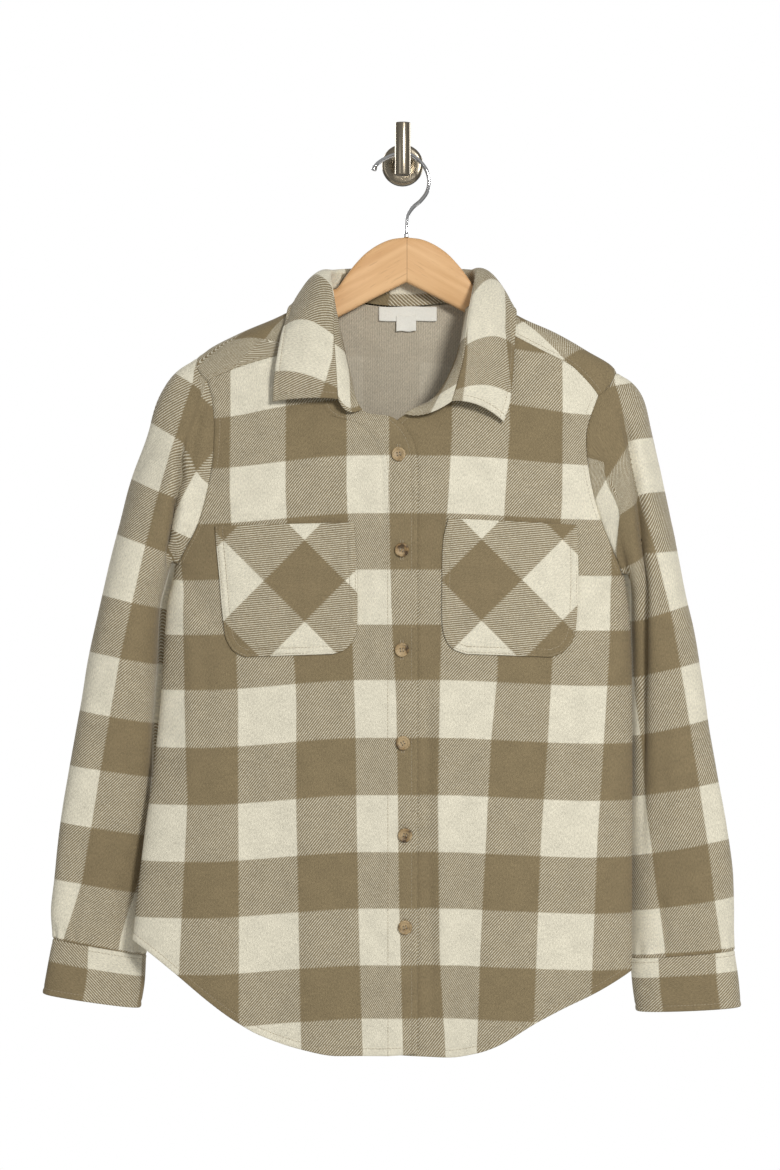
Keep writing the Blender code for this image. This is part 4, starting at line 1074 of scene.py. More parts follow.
def pinTo(blocks, x, drop, line, pins, reach, hand, bent):
    # Slide the check inwards of a fold's line so that each pin (x, drop, u, v) holds its place in it
    spots, wanted = np.array(pins)[:, :2], np.array(pins)[:, 2:]
    flat = np.stack([x, drop], axis=-1).reshape(-1, 2)

    def pull(places):
        return np.exp(-((places[:, None] - spots[None]) ** 2).sum(-1) / reach**2)

    def level(places):
        return np.concatenate([places, np.ones((len(places), 1))], axis=1)

    if bent:
        slopes = np.linalg.lstsq(level(spots), wanted, rcond=None)[0]
        start, missing = level(flat) @ slopes, wanted - level(spots) @ slopes
    else:
        start = blocks.reshape(-1, 2)
        missing = wanted - start[[int(np.argmin(((flat - spot) ** 2).sum(-1))) for spot in spots]]
    weights = np.linalg.solve(pull(spots) + 0.2 * np.eye(len(spots)), missing)
    laid = (start + pull(flat) @ weights).reshape(blocks.shape)
    foldX = np.interp(drop, [place[1] for place in line], [place[0] for place in line])
    share = ease(-1.0, 1.0, (foldX - x) * hand) * ease(line[-1][1] + 12, line[-1][1] - 4, drop)
    share = share * ease(line[0][1] - 16, line[0][1] - 8, drop)
    return blocks + (laid - blocks) * share[..., None]


def sleeveBlocks(table, points, angleGrid, top, rightSide):
    rowCount, count = points.shape[:2]
    line = np.array(table["line"])
    ringPoints = np.concatenate([points, points[:, :1]], axis=1)
    ringAngles = np.concatenate([angleGrid, angleGrid[:, :1] + 2 * math.pi], axis=1)
    steps = np.diff(ringPoints[..., :2], axis=1)
    turned = np.cumsum(np.linalg.norm(steps, axis=-1) - np.abs(steps[..., 0]), axis=1)
    turned = np.concatenate([np.zeros((rowCount, 1)), turned], axis=1)
    atFront = np.array([np.interp(math.pi / 2, a, t) for a, t in zip(ringAngles, turned)])[:, None]
    ringX, ringDrop = ringPoints[..., 0], -ringPoints[..., 2]
    fromLine = (ringX - np.interp(ringDrop, line[:, 1], line[:, 0])) / block
    hand = -1 if rightSide else 1
    u = np.where(np.arange(count + 1) <= top, fromLine, 2 * fromLine[:, top : top + 1] - fromLine)
    u = u + hand * (turned - atFront) / block + (0 if rightSide else 1)
    slope = np.interp(ringDrop, table["rows"], table["slope"])
    level = ringDrop - slope * fromLine * block
    v = np.interp(level, table["rows"], np.arange(len(table["rows"])))
    v = np.where(level < table["rows"][0], (level - table["rows"][0]) / 53.0, v)
    blocks = np.stack([u, v], axis=-1)
    ahead = slice(0, top + 1)
    frontX, frontDrop = ringX[:, ahead], ringDrop[:, ahead]
    for fold, pins, bent in table["pins"]:
        blocks[:, ahead] = pinTo(blocks[:, ahead], frontX, frontDrop, fold, pins, 22.0, hand, bent)
    return blocks


def buildSleeve(side, table, rightSide):
    ring, top = armholeRing(rightSide)
    places, facing = bodyPoint(*ring.T), bodyNormal(*ring.T)
    places = places + facing * bodyRelief(*ring.T)[:, None]
    count = len(places)
    inner, outer, _ = sectionEnds(table, np.array(0.0))
    chord = outer - inner
    shares = np.clip((places - inner) @ chord / (chord @ chord), 0, 1)
    shares[0], shares[top] = 0.0, 1.0
    shares[: top + 1] = np.maximum.accumulate(shares[: top + 1])
    shares[top:] = np.minimum.accumulate(shares[top:])
    angles = np.arccos(1 - 2 * shares)
    angles[top + 1 :] = 2 * math.pi - angles[top + 1 :]
    angles = np.maximum.accumulate(angles)
    even = np.linspace(0, 2 * math.pi, count, endpoint=False)
    roundIt = unit(np.roll(places, -1, axis=0) - np.roll(places, 1, axis=0))
    away = unit(np.cross(facing, roundIt)) * (1 if rightSide else -1)
    fold = (1 - ease(0.0, 0.3, shares))[:, None]
    turned = unit(facing * (1 - fold) + np.array((0, 0, -1.0)) * fold)
    start = places + away * (0.15 + 0.6 * np.abs((turned * away).sum(-1, keepdims=True)) + 0.5 * fold)
    offsets = start - sectionPoint(table, np.zeros(count), angles)
    length = table["along"][-1]
    rows = spacing(570.0, (0, 0.6, 1.4, 2.4, 3.8, 5.4, 7.2), seamPlaces, 150)
    along = length * rows**1.12
    alongGrid = np.repeat(along[:, None], count, axis=1)
    angleGrid = angles + (even - angles) * 0.35 * ease(0.5, 4.5, alongGrid)
    points = sectionPoint(table, alongGrid, angleGrid)
    points = points + offsets * (1 - ease(0.0, 4.5, alongGrid))[..., None]
    quarter = 2.05 * np.maximum(-np.sin(angleGrid), 0) ** 3 * np.sqrt(np.maximum(np.cos(angleGrid), 0))
    swing = quarter * smoothRead(*table["behind"], alongGrid) * ease(378, 392, -points[..., 2])
    points = points + swing[..., None] * np.array((1.0 if rightSide else -1.0, 0.15, 0))
    points[0] = start
    normals = gridNormals(points, True) * (-1 if rightSide else 1)
    centre = (sectionEnds(table, alongGrid)[0] + sectionEnds(table, alongGrid)[1]) / 2
    outwards = ((points - centre) * normals).sum(-1).mean()
    normals = normals if outwards > 0 else -normals
    normals[0] = turned
    x, drop = points[..., 0], -points[..., 2]
    isFront = ease(0.05, 0.65, np.sin(angleGrid))
    relief = creasesAt(x, drop, table["creases"]) * (0.12 + 0.88 * isFront)
    seed = 4.1 if rightSide else 2.7
    relief = relief + 0.8 * rumple(x * 1.3 + 40 * np.cos(angleGrid), drop, seed, 0.8)
    relief = relief * ease(0, 0.5, alongGrid) * ease(length, length - 0.15, alongGrid)
    gather = 0.8 * np.sin(angleGrid * 17 + 1.4 * np.sin(angleGrid * 3))
    gather = gather * ease(length - 0.9, length - 0.1, alongGrid) * ease(length, length - 0.1, alongGrid)
    blocks = sleeveBlocks(table, points, angleGrid, top, rightSide)
    points = points + normals * (relief + gather)[..., None]
    normals = facingLike(points, True, normals)
    normals[0] = turned
    # The sleeve's seam allowance turns in under the edges of the panels
    down = borderDistances(points)
    knee = start - normals[0] * 2.1
    points = np.concatenate([(knee - away * 4.0)[None], (knee - away * 1.2)[None], points])
    normals = np.concatenate([facing[None], facing[None], normals])
    blocks = np.concatenate([blocks[:1], blocks[:1], blocks])
    distances = {name: np.concatenate([reach[:1], reach[:1], reach]) for name, reach in down.items()}
    borders = {"first row": "seam", "last row": "seam"}
    nodes = [side + "_upper_sleeve", side + "_lower_sleeve"]
    name = side + "_sleeve_cloth"
    clothShell(name, nodes, points, normals, blocks, borders, closed=True, distances=distances)


def buildCuff(side, table, rightSide):
    count = 76
    rows = spacing(53.0, seamPlaces, edgePlaces, 9)
    along = np.repeat(rows[:, None], count, axis=1)
    angle = np.repeat(np.linspace(0, 2 * math.pi, count, endpoint=False)[None], len(rows), axis=0)
    points = sectionPoint(table, along, angle)
    normals = gridNormals(points, True)
    centre = (sectionEnds(table, along)[0] + sectionEnds(table, along)[1]) / 2
    if ((points - centre) * normals).sum(-1).mean() < 0:
        normals = -normals
    x, drop = points[..., 0], -points[..., 2]
    points = points + normals * (0.5 * rumple(x * 2 + 30 * np.sin(angle), drop, 0.6, 0.5))[..., None]
    around = runningLength(np.concatenate([points, points[:, :1]], axis=1), 1)
    down = np.repeat(rows[:, None] * 53.0, count + 1, axis=1)
    if rightSide:
        blocks = np.stack([(down - 21) / block, (around - 62) / block], axis=-1)
    else:
        blocks = np.stack([(down - 19) / block + 2, (around - 33.5) / block + 2], axis=-1)
    borders = {"first row": "seam", "last row": "hem"}
    seams = [("first row", sewing["along seams"]), ("last row", sewing["along edges"])]
    name = side + "_cuff"
    clothShell(
        name + "_cloth", [name], points, normals, blocks, borders, True, 1.4, 1.2, seams,
        faces=(checkOut, checkOut, thread),
    )


print("sleeves and cuffs")
buildSleeve("right", sleeveRight, True)
buildSleeve("left", sleeveLeft, False)
buildCuff("right", cuffRight, True)
buildCuff("left", cuffLeft, False)

# Collar
#
# Each row has where it starts on the neckline, its roll, its seam with the leaf, the leaf's
# fall and the leaf's edge. The leaf's lines and bands say where the check falls along the rows.

collarRows = (
    ("front", (-39, 241), (-54, -83, 249), (-61, -85, 231), (-90, -90, 228), (-123, -78, 233)),
    ("front", (-49, 208), (-50, -79, 206), (-63, -85, 199), (-88, -88, 194), (-121, -75, 209)),
    ("front", (-56, 181), (-57, -75, 176), (-65, -80, 168), (-88, -82, 161), (-117, -70, 184)),
    ("front", (-62, 155), (-62, -66, 148), (-65, -70, 138), (-83, -70, 126), (-113, -60, 162)),
    ("ridge", (-78, 128), (-73, -42, 119), (-69, -43, 110), (-85, -42, 99), (-106, -37, 140)),
    ("back", (-67, 131), (-64, -24, 119), (-61, -23, 107), (-73, -16, 91), (-96, -16, 147)),
    ("back", (-46, 134.5), (-43, -20, 119), (-41, -20, 106), (-48, -9, 87), (-70, -9, 155)),
    ("back", (0, 139), (0, -18, 121), (0, -19, 104), (0, -9, 85), (0, -8, 163)),
    ("back", (44, 135.5), (42, -20, 119), (41, -20, 106), (48, -9, 87), (70, -9, 156)),
    ("back", (65, 131.5), (64, -24, 119), (61, -23, 107), (73, -16, 91), (96, -16, 148)),
    ("ridge", (76, 128), (74, -42, 119), (69, -43, 109), (86, -42, 99), (106, -37, 142)),
    ("front", (58, 160), (59, -70, 156), (62, -75, 152), (84, -76, 142), (106, -63, 180)),
    ("front", (50, 195), (51, -78, 192), (58, -83, 187), (82, -85, 182), (104, -72, 212)),
    ("front", (31, 228), (35, -80, 222), (52, -86, 212), (76, -89, 208), (101, -77, 235)),
    ("front", (0, 243.5), (20, -82, 251), (46, -87, 233), (72, -90, 231), (95, -79, 252)),
)
leafSeamLines = (-1.4, 0.41, 1.9, 3.43, 5.42, 7.0, 8.6, 10.6, 11.8, 13.45, 15.2)
leafEdgeLines = (-0.8, 1.17, 3.0, 4.6, 6.27, 7.06, 7.86, 9.8, 11.0, 12.55, 14.9)
leafBandStart = ((0, 0.3, 1.2, 2, 7, 11, 12, 13.4, 14), (0.3, 0.25, 0.065, 0, 0, -0.02, 0.06, 0.17, 0.2))
leafBandEnd = ((0, 4, 7, 10, 11, 12, 13, 14), (1.25, 1.03, 1.03, 0.75, 0.79, 0.93, 1.07, 1.15))


def collarColumn(index, t):
    x, y, drop = curveThrough([row[index] for row in collarRows], t).T
    return np.stack([x, y, -drop], axis=-1)


def necklinePath():
    share = np.arange(120) / 120
    right = onBody(*curveThrough(edgeRight, 0.6 + 0.4 * share).T)
    around = curveThrough(yokeInner, np.linspace(0, 1, 361))
    left = onBody(*curveThrough(edgeLeft, 0.5 + 0.5 * share).T)
    return np.concatenate([right, around, left[::-1]])


def standBase(t):
    # The stand's lower edge: outside the fronts, inside the yoke's back neck.
    path = necklinePath()
    line = bodyPoint(*path.T)
    bases = []
    for row in collarRows:
        x, drop = row[1]
        onRidge = (0.0 if x < 0 else 2.0, drop)
        place = onRidge if row[0] == "ridge" else onBody(x, drop, row[0] == "front")
        bases.append(int(np.argmin(np.linalg.norm(line - bodyPoint(*place), axis=-1))))
    index = np.clip(smoothRead(np.linspace(0, 1, len(bases)), bases, t), 0, len(path) - 1)
    turn = np.interp(index, np.arange(len(path)), path[:, 0])
    drop = np.interp(index, np.arange(len(path)), path[:, 1])
    onFront = np.sin(turn * math.pi / 2)
    lift = 4.0 * ease(-0.35, 0.1, onFront)
    up = 1.5 * (1 - ease(-0.6, 0.0, onFront))
    lifted = bodyPoint(turn, drop) + bodyNormal(turn, drop) * lift[:, None]
    return lifted + np.array((0, 0, 1.0)) * up[:, None]


def bend(start, control, end, t):
    return start * (1 - t) ** 2 + control * 2 * t * (1 - t) + end * t * t


def clearOfBody(points, clearance):
    # Move points out until they stand at least this far off the body's surface.
    drop = -points[..., 2]
    right = smoothRead(body["drop"], body["right"], drop)
    left = smoothRead(body["drop"], body["left"], drop)
    aside = (2 * points[..., 0] - right - left) / (left - right)
    depth = points[..., 1] - smoothRead(body["drop"], body["middle"], drop)
    front = smoothRead(body["drop"], body["front"], drop)
    behind = smoothRead(body["drop"], body["back"], drop)
    ahead = np.abs(depth) / np.where(depth < 0, front, behind)
    size = (np.abs(aside) ** sectionPower + ahead**sectionPower) ** (1 / sectionPower)
    turn = np.arccos(np.clip(-aside / size, -1, 1)) / (math.pi / 2)
    turn = np.where(depth < 0, turn, -turn)
    normal = bodyNormal(turn, drop)
    off = ((points - bodyPoint(turn, drop)) * normal).sum(-1)
    return points + normal * np.maximum(clearance - off, 0.0)[..., None]


def linesAt(lines, at):
    return np.interp(at, lines, np.arange(len(lines)))


def buildCollar():
    t = spacing(640.0, edgePlaces, edgePlaces, 170)
    base = standBase(t)
    roll, seam, fall, edge = (collarColumn(i, t) for i in (2, 3, 4, 5))
    row = (t * 14)[:, None]

    v = spacing(30.0, (0, 0.6, 1.6), (0, 0.6, 1.6), 12)
    points = bend(base[:, None], roll[:, None], seam[:, None], v[None, :, None])
    uneven = 0.25 * rumple(points[..., 0], points[..., 2], 3.3, 0.7)
    points = points + uneven[..., None] * np.array((0, 1.0, 0))
    normals = gridNormals(points, False)
    normals = normals * np.sign((normals[85, 6] * np.array((0, 1.0, 0))).sum())
    u = linesAt(leafSeamLines, row + 0.25 + 0 * v[None])
    band = 0.35 + 0.25 * ease(11.5, 14, row) + 0 * v[None]
    blocks = np.stack([u, 1 + (v[None] - band) * 0.55], axis=-1)
    borders = {"first row": "hem", "last row": "hem", "last column": "seam"}
    faces = (checkOut, checkOut, thread)
    clothShell("collar_stand_cloth", ["collar_stand"], points, normals, blocks, borders, faces=faces)

    v = spacing(58.0, (0, 0.5, 1.2, 2.2), edgePlaces, 16)
    points = bend(seam[:, None], fall[:, None], edge[:, None], v[None, :, None])
    points = clearOfBody(points, 5.0)
    curl = 1.6 * ease(0.6, 1.0, v[None]) * np.sin(row * 0.9 + 0.4) * ease(0.0, 1.0, np.abs(row - 7))
    normals = gridNormals(points, False)
    normals = normals * np.sign((normals[85, 12] * np.array((0, 1.0, 0))).sum())
    relief = np.maximum(curl, -0.3) + 0.4 * rumple(points[..., 0], points[..., 2], 5.2, 0.6)
    points = points + normals * relief[..., None]
    normals = facingLike(points, False, normals)
    u = linesAt(leafSeamLines, row) * (1 - v[None]) + linesAt(leafEdgeLines, row) * v[None]
    first, last = np.interp(row, *leafBandStart), np.interp(row, *leafBandEnd)
    blocks = np.stack([u, 1 + (v[None] - first) / (last - first)], axis=-1)
    borders = {"first row": "hem", "last row": "hem", "last column": "hem", "first column": "seam"}
    seams = [(border, sewing["along edges"]) for border in ("last column", "first row", "last row")]
    clothShell(
        "collar_leaf_cloth", ["collar_leaf"], points, normals, blocks, borders, False, 1.15, 1.0, seams,
        faces=faces,
    )


print("collar")
buildCollar()

# Pockets, cut on the bias

pocketRight = (
    ((-177, 350), (-46, 347)),
    ((-176, 368), (-44.5, 368)),
    ((-173, 400), (-43, 400)),
    ((-170, 436), (-43, 443)),
    ((-167.5, 455), (-47, 458)),
    ((-160, 468), (-55, 467)),
    ((-149, 474), (-66, 471)),
)
pocketLeft = (
    ((43, 343), (164, 349)),
    ((38, 365), (165, 368)),
    ((37, 400), (165.5, 400)),
    ((37, 440), (164, 440)),
    ((40, 456), (161, 457)),
    ((47, 466), (152, 469)),
    ((60, 471), (140, 474)),
)


def offLine(points, line):
    # Distance of every point from a line of points in space.
    best = np.full(points.shape[:-1], 1e9)
    for a, b in zip(line[:-1], line[1:]):
        span = b - a
        size = span @ span
        if size < 1e-9:
            continue
        t = np.clip((points - a) @ span / size, 0, 1)
        best = np.minimum(best, np.linalg.norm(points - a - span * t[..., None], axis=-1))
    return best


def buildPocket(name, outline, centre, topLayer):
    rows = spacing(126.0, edgePlaces, edgePlaces, 34)
    rows = 1 - (1 - rows) ** 1.25
    columns = spacing(128.0, edgePlaces, edgePlaces, 34)
    start = curveThrough([row[0] for row in outline], rows)
    end = curveThrough([row[1] for row in outline], rows)
    flat = start[:, None] + (end - start)[:, None] * columns[None, :, None]

    def lifted(flatPoints, extra):
        domain = onBody(flatPoints[..., 0], flatPoints[..., 1])
        turn, drop = domain[..., 0], domain[..., 1]
        normal = bodyNormal(turn, drop)
        lift = 2.65 + (liftOf(flatPoints[..., 0], True) if topLayer else 0.0)
        slack = 0.9 * bell(drop - 352, 9) * bell(flatPoints[..., 0] - centre[0], 45)
        lift = lift + bodyRelief(turn, drop) + extra + slack
        return bodyPoint(turn, drop) + normal * lift[..., None], normal

    points, normals = lifted(flat, 0.3 * rumple(flat[..., 0], flat[..., 1], centre[0], 0.5))
    normals = facingLike(points, False, normals)
    sides = np.concatenate([flat[:, 0], flat[-1, 1:-1], flat[::-1, -1]])
    rim = np.concatenate([points[:, 0], points[-1, 1:-1], points[::-1, -1]])
    distances = {"outline": offLine(points, rim), "top": offLine(points, points[0])}
    ahead = unit(np.roll(sides, -1, axis=0) - np.roll(sides, 1, axis=0))
    ahead[0], ahead[-1] = ahead[1], ahead[-2]
    inwards = np.stack([ahead[:, 1], -ahead[:, 0]], axis=-1)
    inwards = inwards * np.sign(((np.array(centre) - sides) * inwards).sum(-1, keepdims=True))
    tracks = []
    for distance in sewing["pocket"]:
        path = sides + inwards * distance
        path = path[(path[:, 1] > outline[0][0][1] + 1.5) | (np.arange(len(path)) % len(path) > 2)]
        track, facing = lifted(path, 0.55)
        tracks.append((track, facing))
    across = (flat - np.array(centre)) / block / math.sqrt(2)
    u, v = across[..., 0] + across[..., 1], across[..., 1] - across[..., 0]
    blocks = np.stack([u, v], axis=-1) + 0.5
    borders = {"outline": "hem", "top": "hem"}
    seams = [("outline", distance) for distance in sewing["pocket"]]
    clothShell(
        name + "_cloth", [name], points, normals, blocks, borders, seams=seams, distances=distances,
        tracks=tracks,
    )


print("pockets")
buildPocket("right_pocket", pocketRight, (-92.5, 402.2), True)
buildPocket("left_pocket", pocketLeft, (74.0, 401.3), False)

# Buttons, labels, hanger and wall hook


def hornMaterial():
    material, tree, shader = startMaterial("horn_button", 0.42)
    mottle = noiseNode(tree, objectPlace(tree), 210.0, 5.0)
    cloud = noiseNode(tree, objectPlace(tree), 90.0, 2.0)
    spots, patches = smoothStep(tree, mottle, 0.4, 0.62), smoothStep(tree, cloud, 0.42, 0.66)
    dark = mixColours(tree, spots, (0.06, 0.034, 0.014), (0.30, 0.19, 0.08))
    colour = mixColours(tree, patches, dark, (0.44, 0.32, 0.17))
    tree.links.new(colour, shader.inputs["Base Color"])
    shader.inputs["Specular IOR Level"].default_value = 0.35
    bumpInto(tree, shader, mottle, 0.0002, 0.12)
    return material


def labelMaterial():
    material, tree, shader = startMaterial("woven_label", 0.75)
    parts = nodeAt(tree, "ShaderNodeSeparateXYZ")
    tree.links.new(objectPlace(tree), parts.inputs[0])
    across = mathNode(tree, "SINE", times(tree, parts.outputs[0], 9000.0))
    down = mathNode(tree, "SINE", times(tree, parts.outputs[2], 9000.0))
    weave = times(tree, across, down)
    tint = noiseNode(tree, objectPlace(tree), 500.0)
    colour = mixColours(tree, tint, (0.79, 0.765, 0.68), (0.88, 0.86, 0.775))
    tree.links.new(colour, shader.inputs["Base Color"])
    bumpInto(tree, shader, weave, 0.0002, 0.35)
    return material


def woodMaterial():
    # Beech in two halves that meet at the hook, each with its grain along the arm.
    material, tree, shader = startMaterial("beech", 0.52)
    parts = nodeAt(tree, "ShaderNodeSeparateXYZ")
    tree.links.new(objectPlace(tree), parts.inputs[0])
    aside = mathNode(tree, "ABSOLUTE", minus(tree, parts.outputs[0], 0.0042))
    level = plus(tree, parts.outputs[2], times(tree, aside, 0.55))

    def stretchedBy(scales):
        joined = nodeAt(tree, "ShaderNodeCombineXYZ")
        for i, source in enumerate((parts.outputs[0], parts.outputs[1], level)):
            tree.links.new(times(tree, source, scales[i]), joined.inputs[i])
        return joined.outputs[0]

    grain = noiseNode(tree, stretchedBy((3.0, 30.0, 46.0)), 2.2, 6.0)
    fleck = smoothStep(tree, noiseNode(tree, stretchedBy((90.0, 700.0, 700.0)), 1.0, 3.0), 0.6, 0.75)
    colour = mixColours(tree, smoothStep(tree, grain, 0.3, 0.7), (0.66, 0.375, 0.165), (0.80, 0.50, 0.25))
    colour = mixColours(tree, times(tree, fleck, 0.35), colour, (0.40, 0.20, 0.085))
    joint = mathNode(tree, "LESS_THAN", aside, 0.00035)
    colour = mixColours(tree, times(tree, joint, 0.55), colour, (0.25, 0.12, 0.05))
    tree.links.new(colour, shader.inputs["Base Color"])
    shader.inputs["Specular IOR Level"].default_value = 0.3
    bumpInto(tree, shader, grain, 0.0003, 0.15)
    return material


def metalMaterial(name, colour, roughness, brush):
    material, tree, shader = startMaterial(name, roughness, 1.0)
    stretched = nodeAt(tree, "ShaderNodeMapping")
    stretched.inputs["Scale"].default_value = (900.0, 900.0, 12.0)
    tree.links.new(objectPlace(tree), stretched.inputs["Vector"])
    lines = noiseNode(tree, stretched.outputs["Vector"], 1.0, 3.0)
    low = tuple(c * (1 - brush) for c in colour)
    tree.links.new(mixColours(tree, lines, low, colour), shader.inputs["Base Color"])
    rough = plus(tree, times(tree, lines, brush), roughness - brush / 2)
    tree.links.new(rough, shader.inputs["Roughness"])
    bumpInto(tree, shader, lines, 0.0002, brush)
    return material


horn = hornMaterial()
labelCloth = labelMaterial()
beech = woodMaterial()
chrome = metalMaterial("polished_chrome", (0.72, 0.72, 0.72), 0.07, 0.03)
nickel = metalMaterial("brushed_nickel", (0.37, 0.32, 0.24), 0.24, 0.16)


def spinProfile(builder, points, axis, segments):
    verts = [builder.verts.new(point) for point in points]
    edges = [builder.edges.new(pair) for pair in zip(verts, verts[1:])]
    bmesh.ops.spin(
        builder, geom=verts + edges, axis=axis, cent=(0, 0, 0), angle=2 * math.pi, steps=segments, use_merge=True
    )
    bmesh.ops.remove_doubles(builder, verts=builder.verts, dist=0.001)
    bmesh.ops.recalc_face_normals(builder, faces=builder.faces)
    if builder.calc_volume(signed=True) < 0:
        bmesh.ops.reverse_faces(builder, faces=builder.faces)


def cutHoles(builder, holes, radius):
    # Cut round holes along Z through the mesh being built, and return the cut mesh.
    blank = objectFrom("blank", builder)
    drills = bmesh.new()
    for x, y in holes:
        place = Matrix.Translation((x, y, 1.5))
        bmesh.ops.create_cone(
            drills, cap_ends=True, segments=20, radius1=radius, radius2=radius, depth=9, matrix=place
        )
    drill = objectFrom("drills", drills)
    cut = blank.modifiers.new("holes", "BOOLEAN")
    cut.operation = "DIFFERENCE"
    cut.object = drill
    shaped = bpy.data.meshes.new_from_object(blank.evaluated_get(bpy.context.evaluated_depsgraph_get()))
    made = bmesh.new()
    made.from_mesh(shaped)
    bpy.data.objects.remove(blank, do_unlink=True)
    bpy.data.objects.remove(drill, do_unlink=True)
    bpy.data.meshes.remove(shaped)
    return made


button = {
    "hole radius": 0.72,
    "hole offset": 1.25,
    "threads": (-1.49, -1.01, 1.01, 1.49),
    "turned by": (13, -22, 8, 31, -10, 19),  # degrees, from the top button down
}


def buildButton(number, x, drop):
    # A four-hole button: a raised rounded rim round a dished face, with thread in the holes.
    builder = bmesh.new()
    profile = (
        (0, 0), (5.6, 0), (6.3, 0.25), (6.7, 0.9), (6.75, 1.6), (6.55, 2.3), (6.1, 2.75), (5.6, 2.9), (5.1, 2.8),
        (4.7, 2.45), (4.3, 2.15), (3.6, 2.05), (1.8, 1.95), (0, 1.95),
    )
    spinProfile(builder, [(r, 0, z) for r, z in profile], (0, 0, 1), 56)
    off = button["hole offset"]
    holes = ((-off, -off), (off, -off), (off, off), (-off, off))
    builder = cutHoles(builder, holes, button["hole radius"])
    threads = bmesh.new()
    for across in button["threads"]:
        spot = Matrix.Translation((across, 0, 1.6)) @ Matrix.Diagonal((0.27, 1.75, 0.75, 1.0))
        bmesh.ops.create_uvsphere(threads, u_segments=8, v_segments=8, radius=1.0, matrix=spot)
    addThread(builder, threads)
    place = onBody(x, drop)
    normal = bodyNormal(*place)
    standOff = liftOf(x, True) + 0.75 + 0.95 + bodyRelief(*place) + 0.2
    centre = bodyPoint(*place) + normal * standOff
    tilt = Vector((0, 0, 1)).rotation_difference(Vector(normal)).to_matrix().to_4x4()
    twist = Matrix.Rotation(math.radians(button["turned by"][number - 1]), 4, "Z")
    whole = Matrix.Translation(Vector(centre)) @ tilt @ twist
    bmesh.ops.transform(builder, matrix=whole, verts=builder.verts)
    name = f"button_{number}"
    piece = finishPiece(name + "_horn", builder, (horn, horn, thread), [name])
    piece.data.set_sharp_from_angle(angle=math.radians(50))


def buildLabel(name, left, right, top, bottom, standOff):
    # A blank woven label with a little slack at its free edge.
    columns, rows = np.linspace(0, 1, 46), np.linspace(0, 1, 16)
    x = left + (right - left) * columns[None, :] + 0 * rows[:, None]
    drop = top + (bottom - top) * rows[:, None] + 0.35 * np.sin(columns[None, :] * 9 + top)
    domain = onBody(x, drop, False)
    turn, place = domain[..., 0], domain[..., 1]
    normals = bodyNormal(turn, place)
    slack = 1.3 * ease(0.15, 1.0, rows[:, None]) * (0.6 + 0.4 * np.sin(columns[None, :] * 7 + 1))
    points = bodyPoint(turn, place) - normals * (standOff + slack)[..., None]
    builder = bmesh.new()
    shellInto(builder, points + normals * 0.3, points - normals * 0.3)
    piece = finishPiece(name + "_cloth", builder, (labelCloth, labelCloth), [name])


woodNeck = ((0, 12, 24, 38, 50, 58, 66), (73, 74.3, 78.5, 87.5, 100, 110.5, 122.5))
woodUnder = ((0, 30, 62, 100, 150, 196), (116, 131, 148, 167, 188, 208))


def tubeInto(builder, rings):
    # A closed tube through rings of points, with flat ends
    grid = gridInto(builder, np.array(rings), True)
    weldSides(builder, grid)
    for row in (grid[0], grid[-1]):
        bmesh.ops.contextual_create(builder, geom=openEdges((row,)))
    bmesh.ops.recalc_face_normals(builder, faces=builder.faces)


hanger = {"middle": 3.5, "half length": 196.0, "half thickness": 6.5, "squareness": 0.42}


def buildHanger():
    # The bent wooden bar, lofted from rounded sections across its length.
    builder = bmesh.new()
    halfSteps, ring = 60, 32
    rings = []
    for step in range(-halfSteps, halfSteps + 1):
        end = hanger["half length"] + hanger["middle"] * (-1 if step > 0 else 1)
        x = hanger["middle"] + end * step / halfSteps
        away = abs(x - hanger["middle"])
        inside = smoothRead(*woodNeck, away)
        underRidge = ridgeDrop(x) + 2.9 if away > 66 else inside
        share = ease(66, 76, away)
        top = inside * (1 - share) + underRidge * share
        bottom = smoothRead(*woodUnder, away)
        depth = smoothRead(body["drop"], body["middle"], max(top, 122))
        depth += (-33.0 - depth) * (1 - ease(25, 70, away))
        endShare = ease(187, 196, abs(x))
        half = (bottom - top) / 2 * (1 - 0.3 * endShare)
        halfThick = hanger["half thickness"] * (1 - 0.45 * endShare)
        angle = np.linspace(0, 2 * math.pi, ring, endpoint=False)
        across, up = np.cos(angle), np.sin(angle)
        y = depth + halfThick * np.sign(across) * np.abs(across) ** hanger["squareness"]
        z = -(top + bottom) / 2 + half * np.sign(up) * np.abs(up) ** hanger["squareness"]
        rings.append(np.stack([x + 0 * y, y, z], axis=-1))
    tubeInto(builder, rings)
    finishPiece("hanger_bar", builder, (beech,), ["hanger_wood"])


hookRoute = (
    (-28, 9), (-25.5, 3.5), (-19, -1.5), (-10, -5.8), (0, -7.6), (9, -5.6), (17, 0.5), (23, 9),
    (25.5, 19), (23.5, 29), (17.5, 37.5), (10, 44), (5.2, 51), (3.8, 60), (3.5, 66), (3.5, 72.7),
)


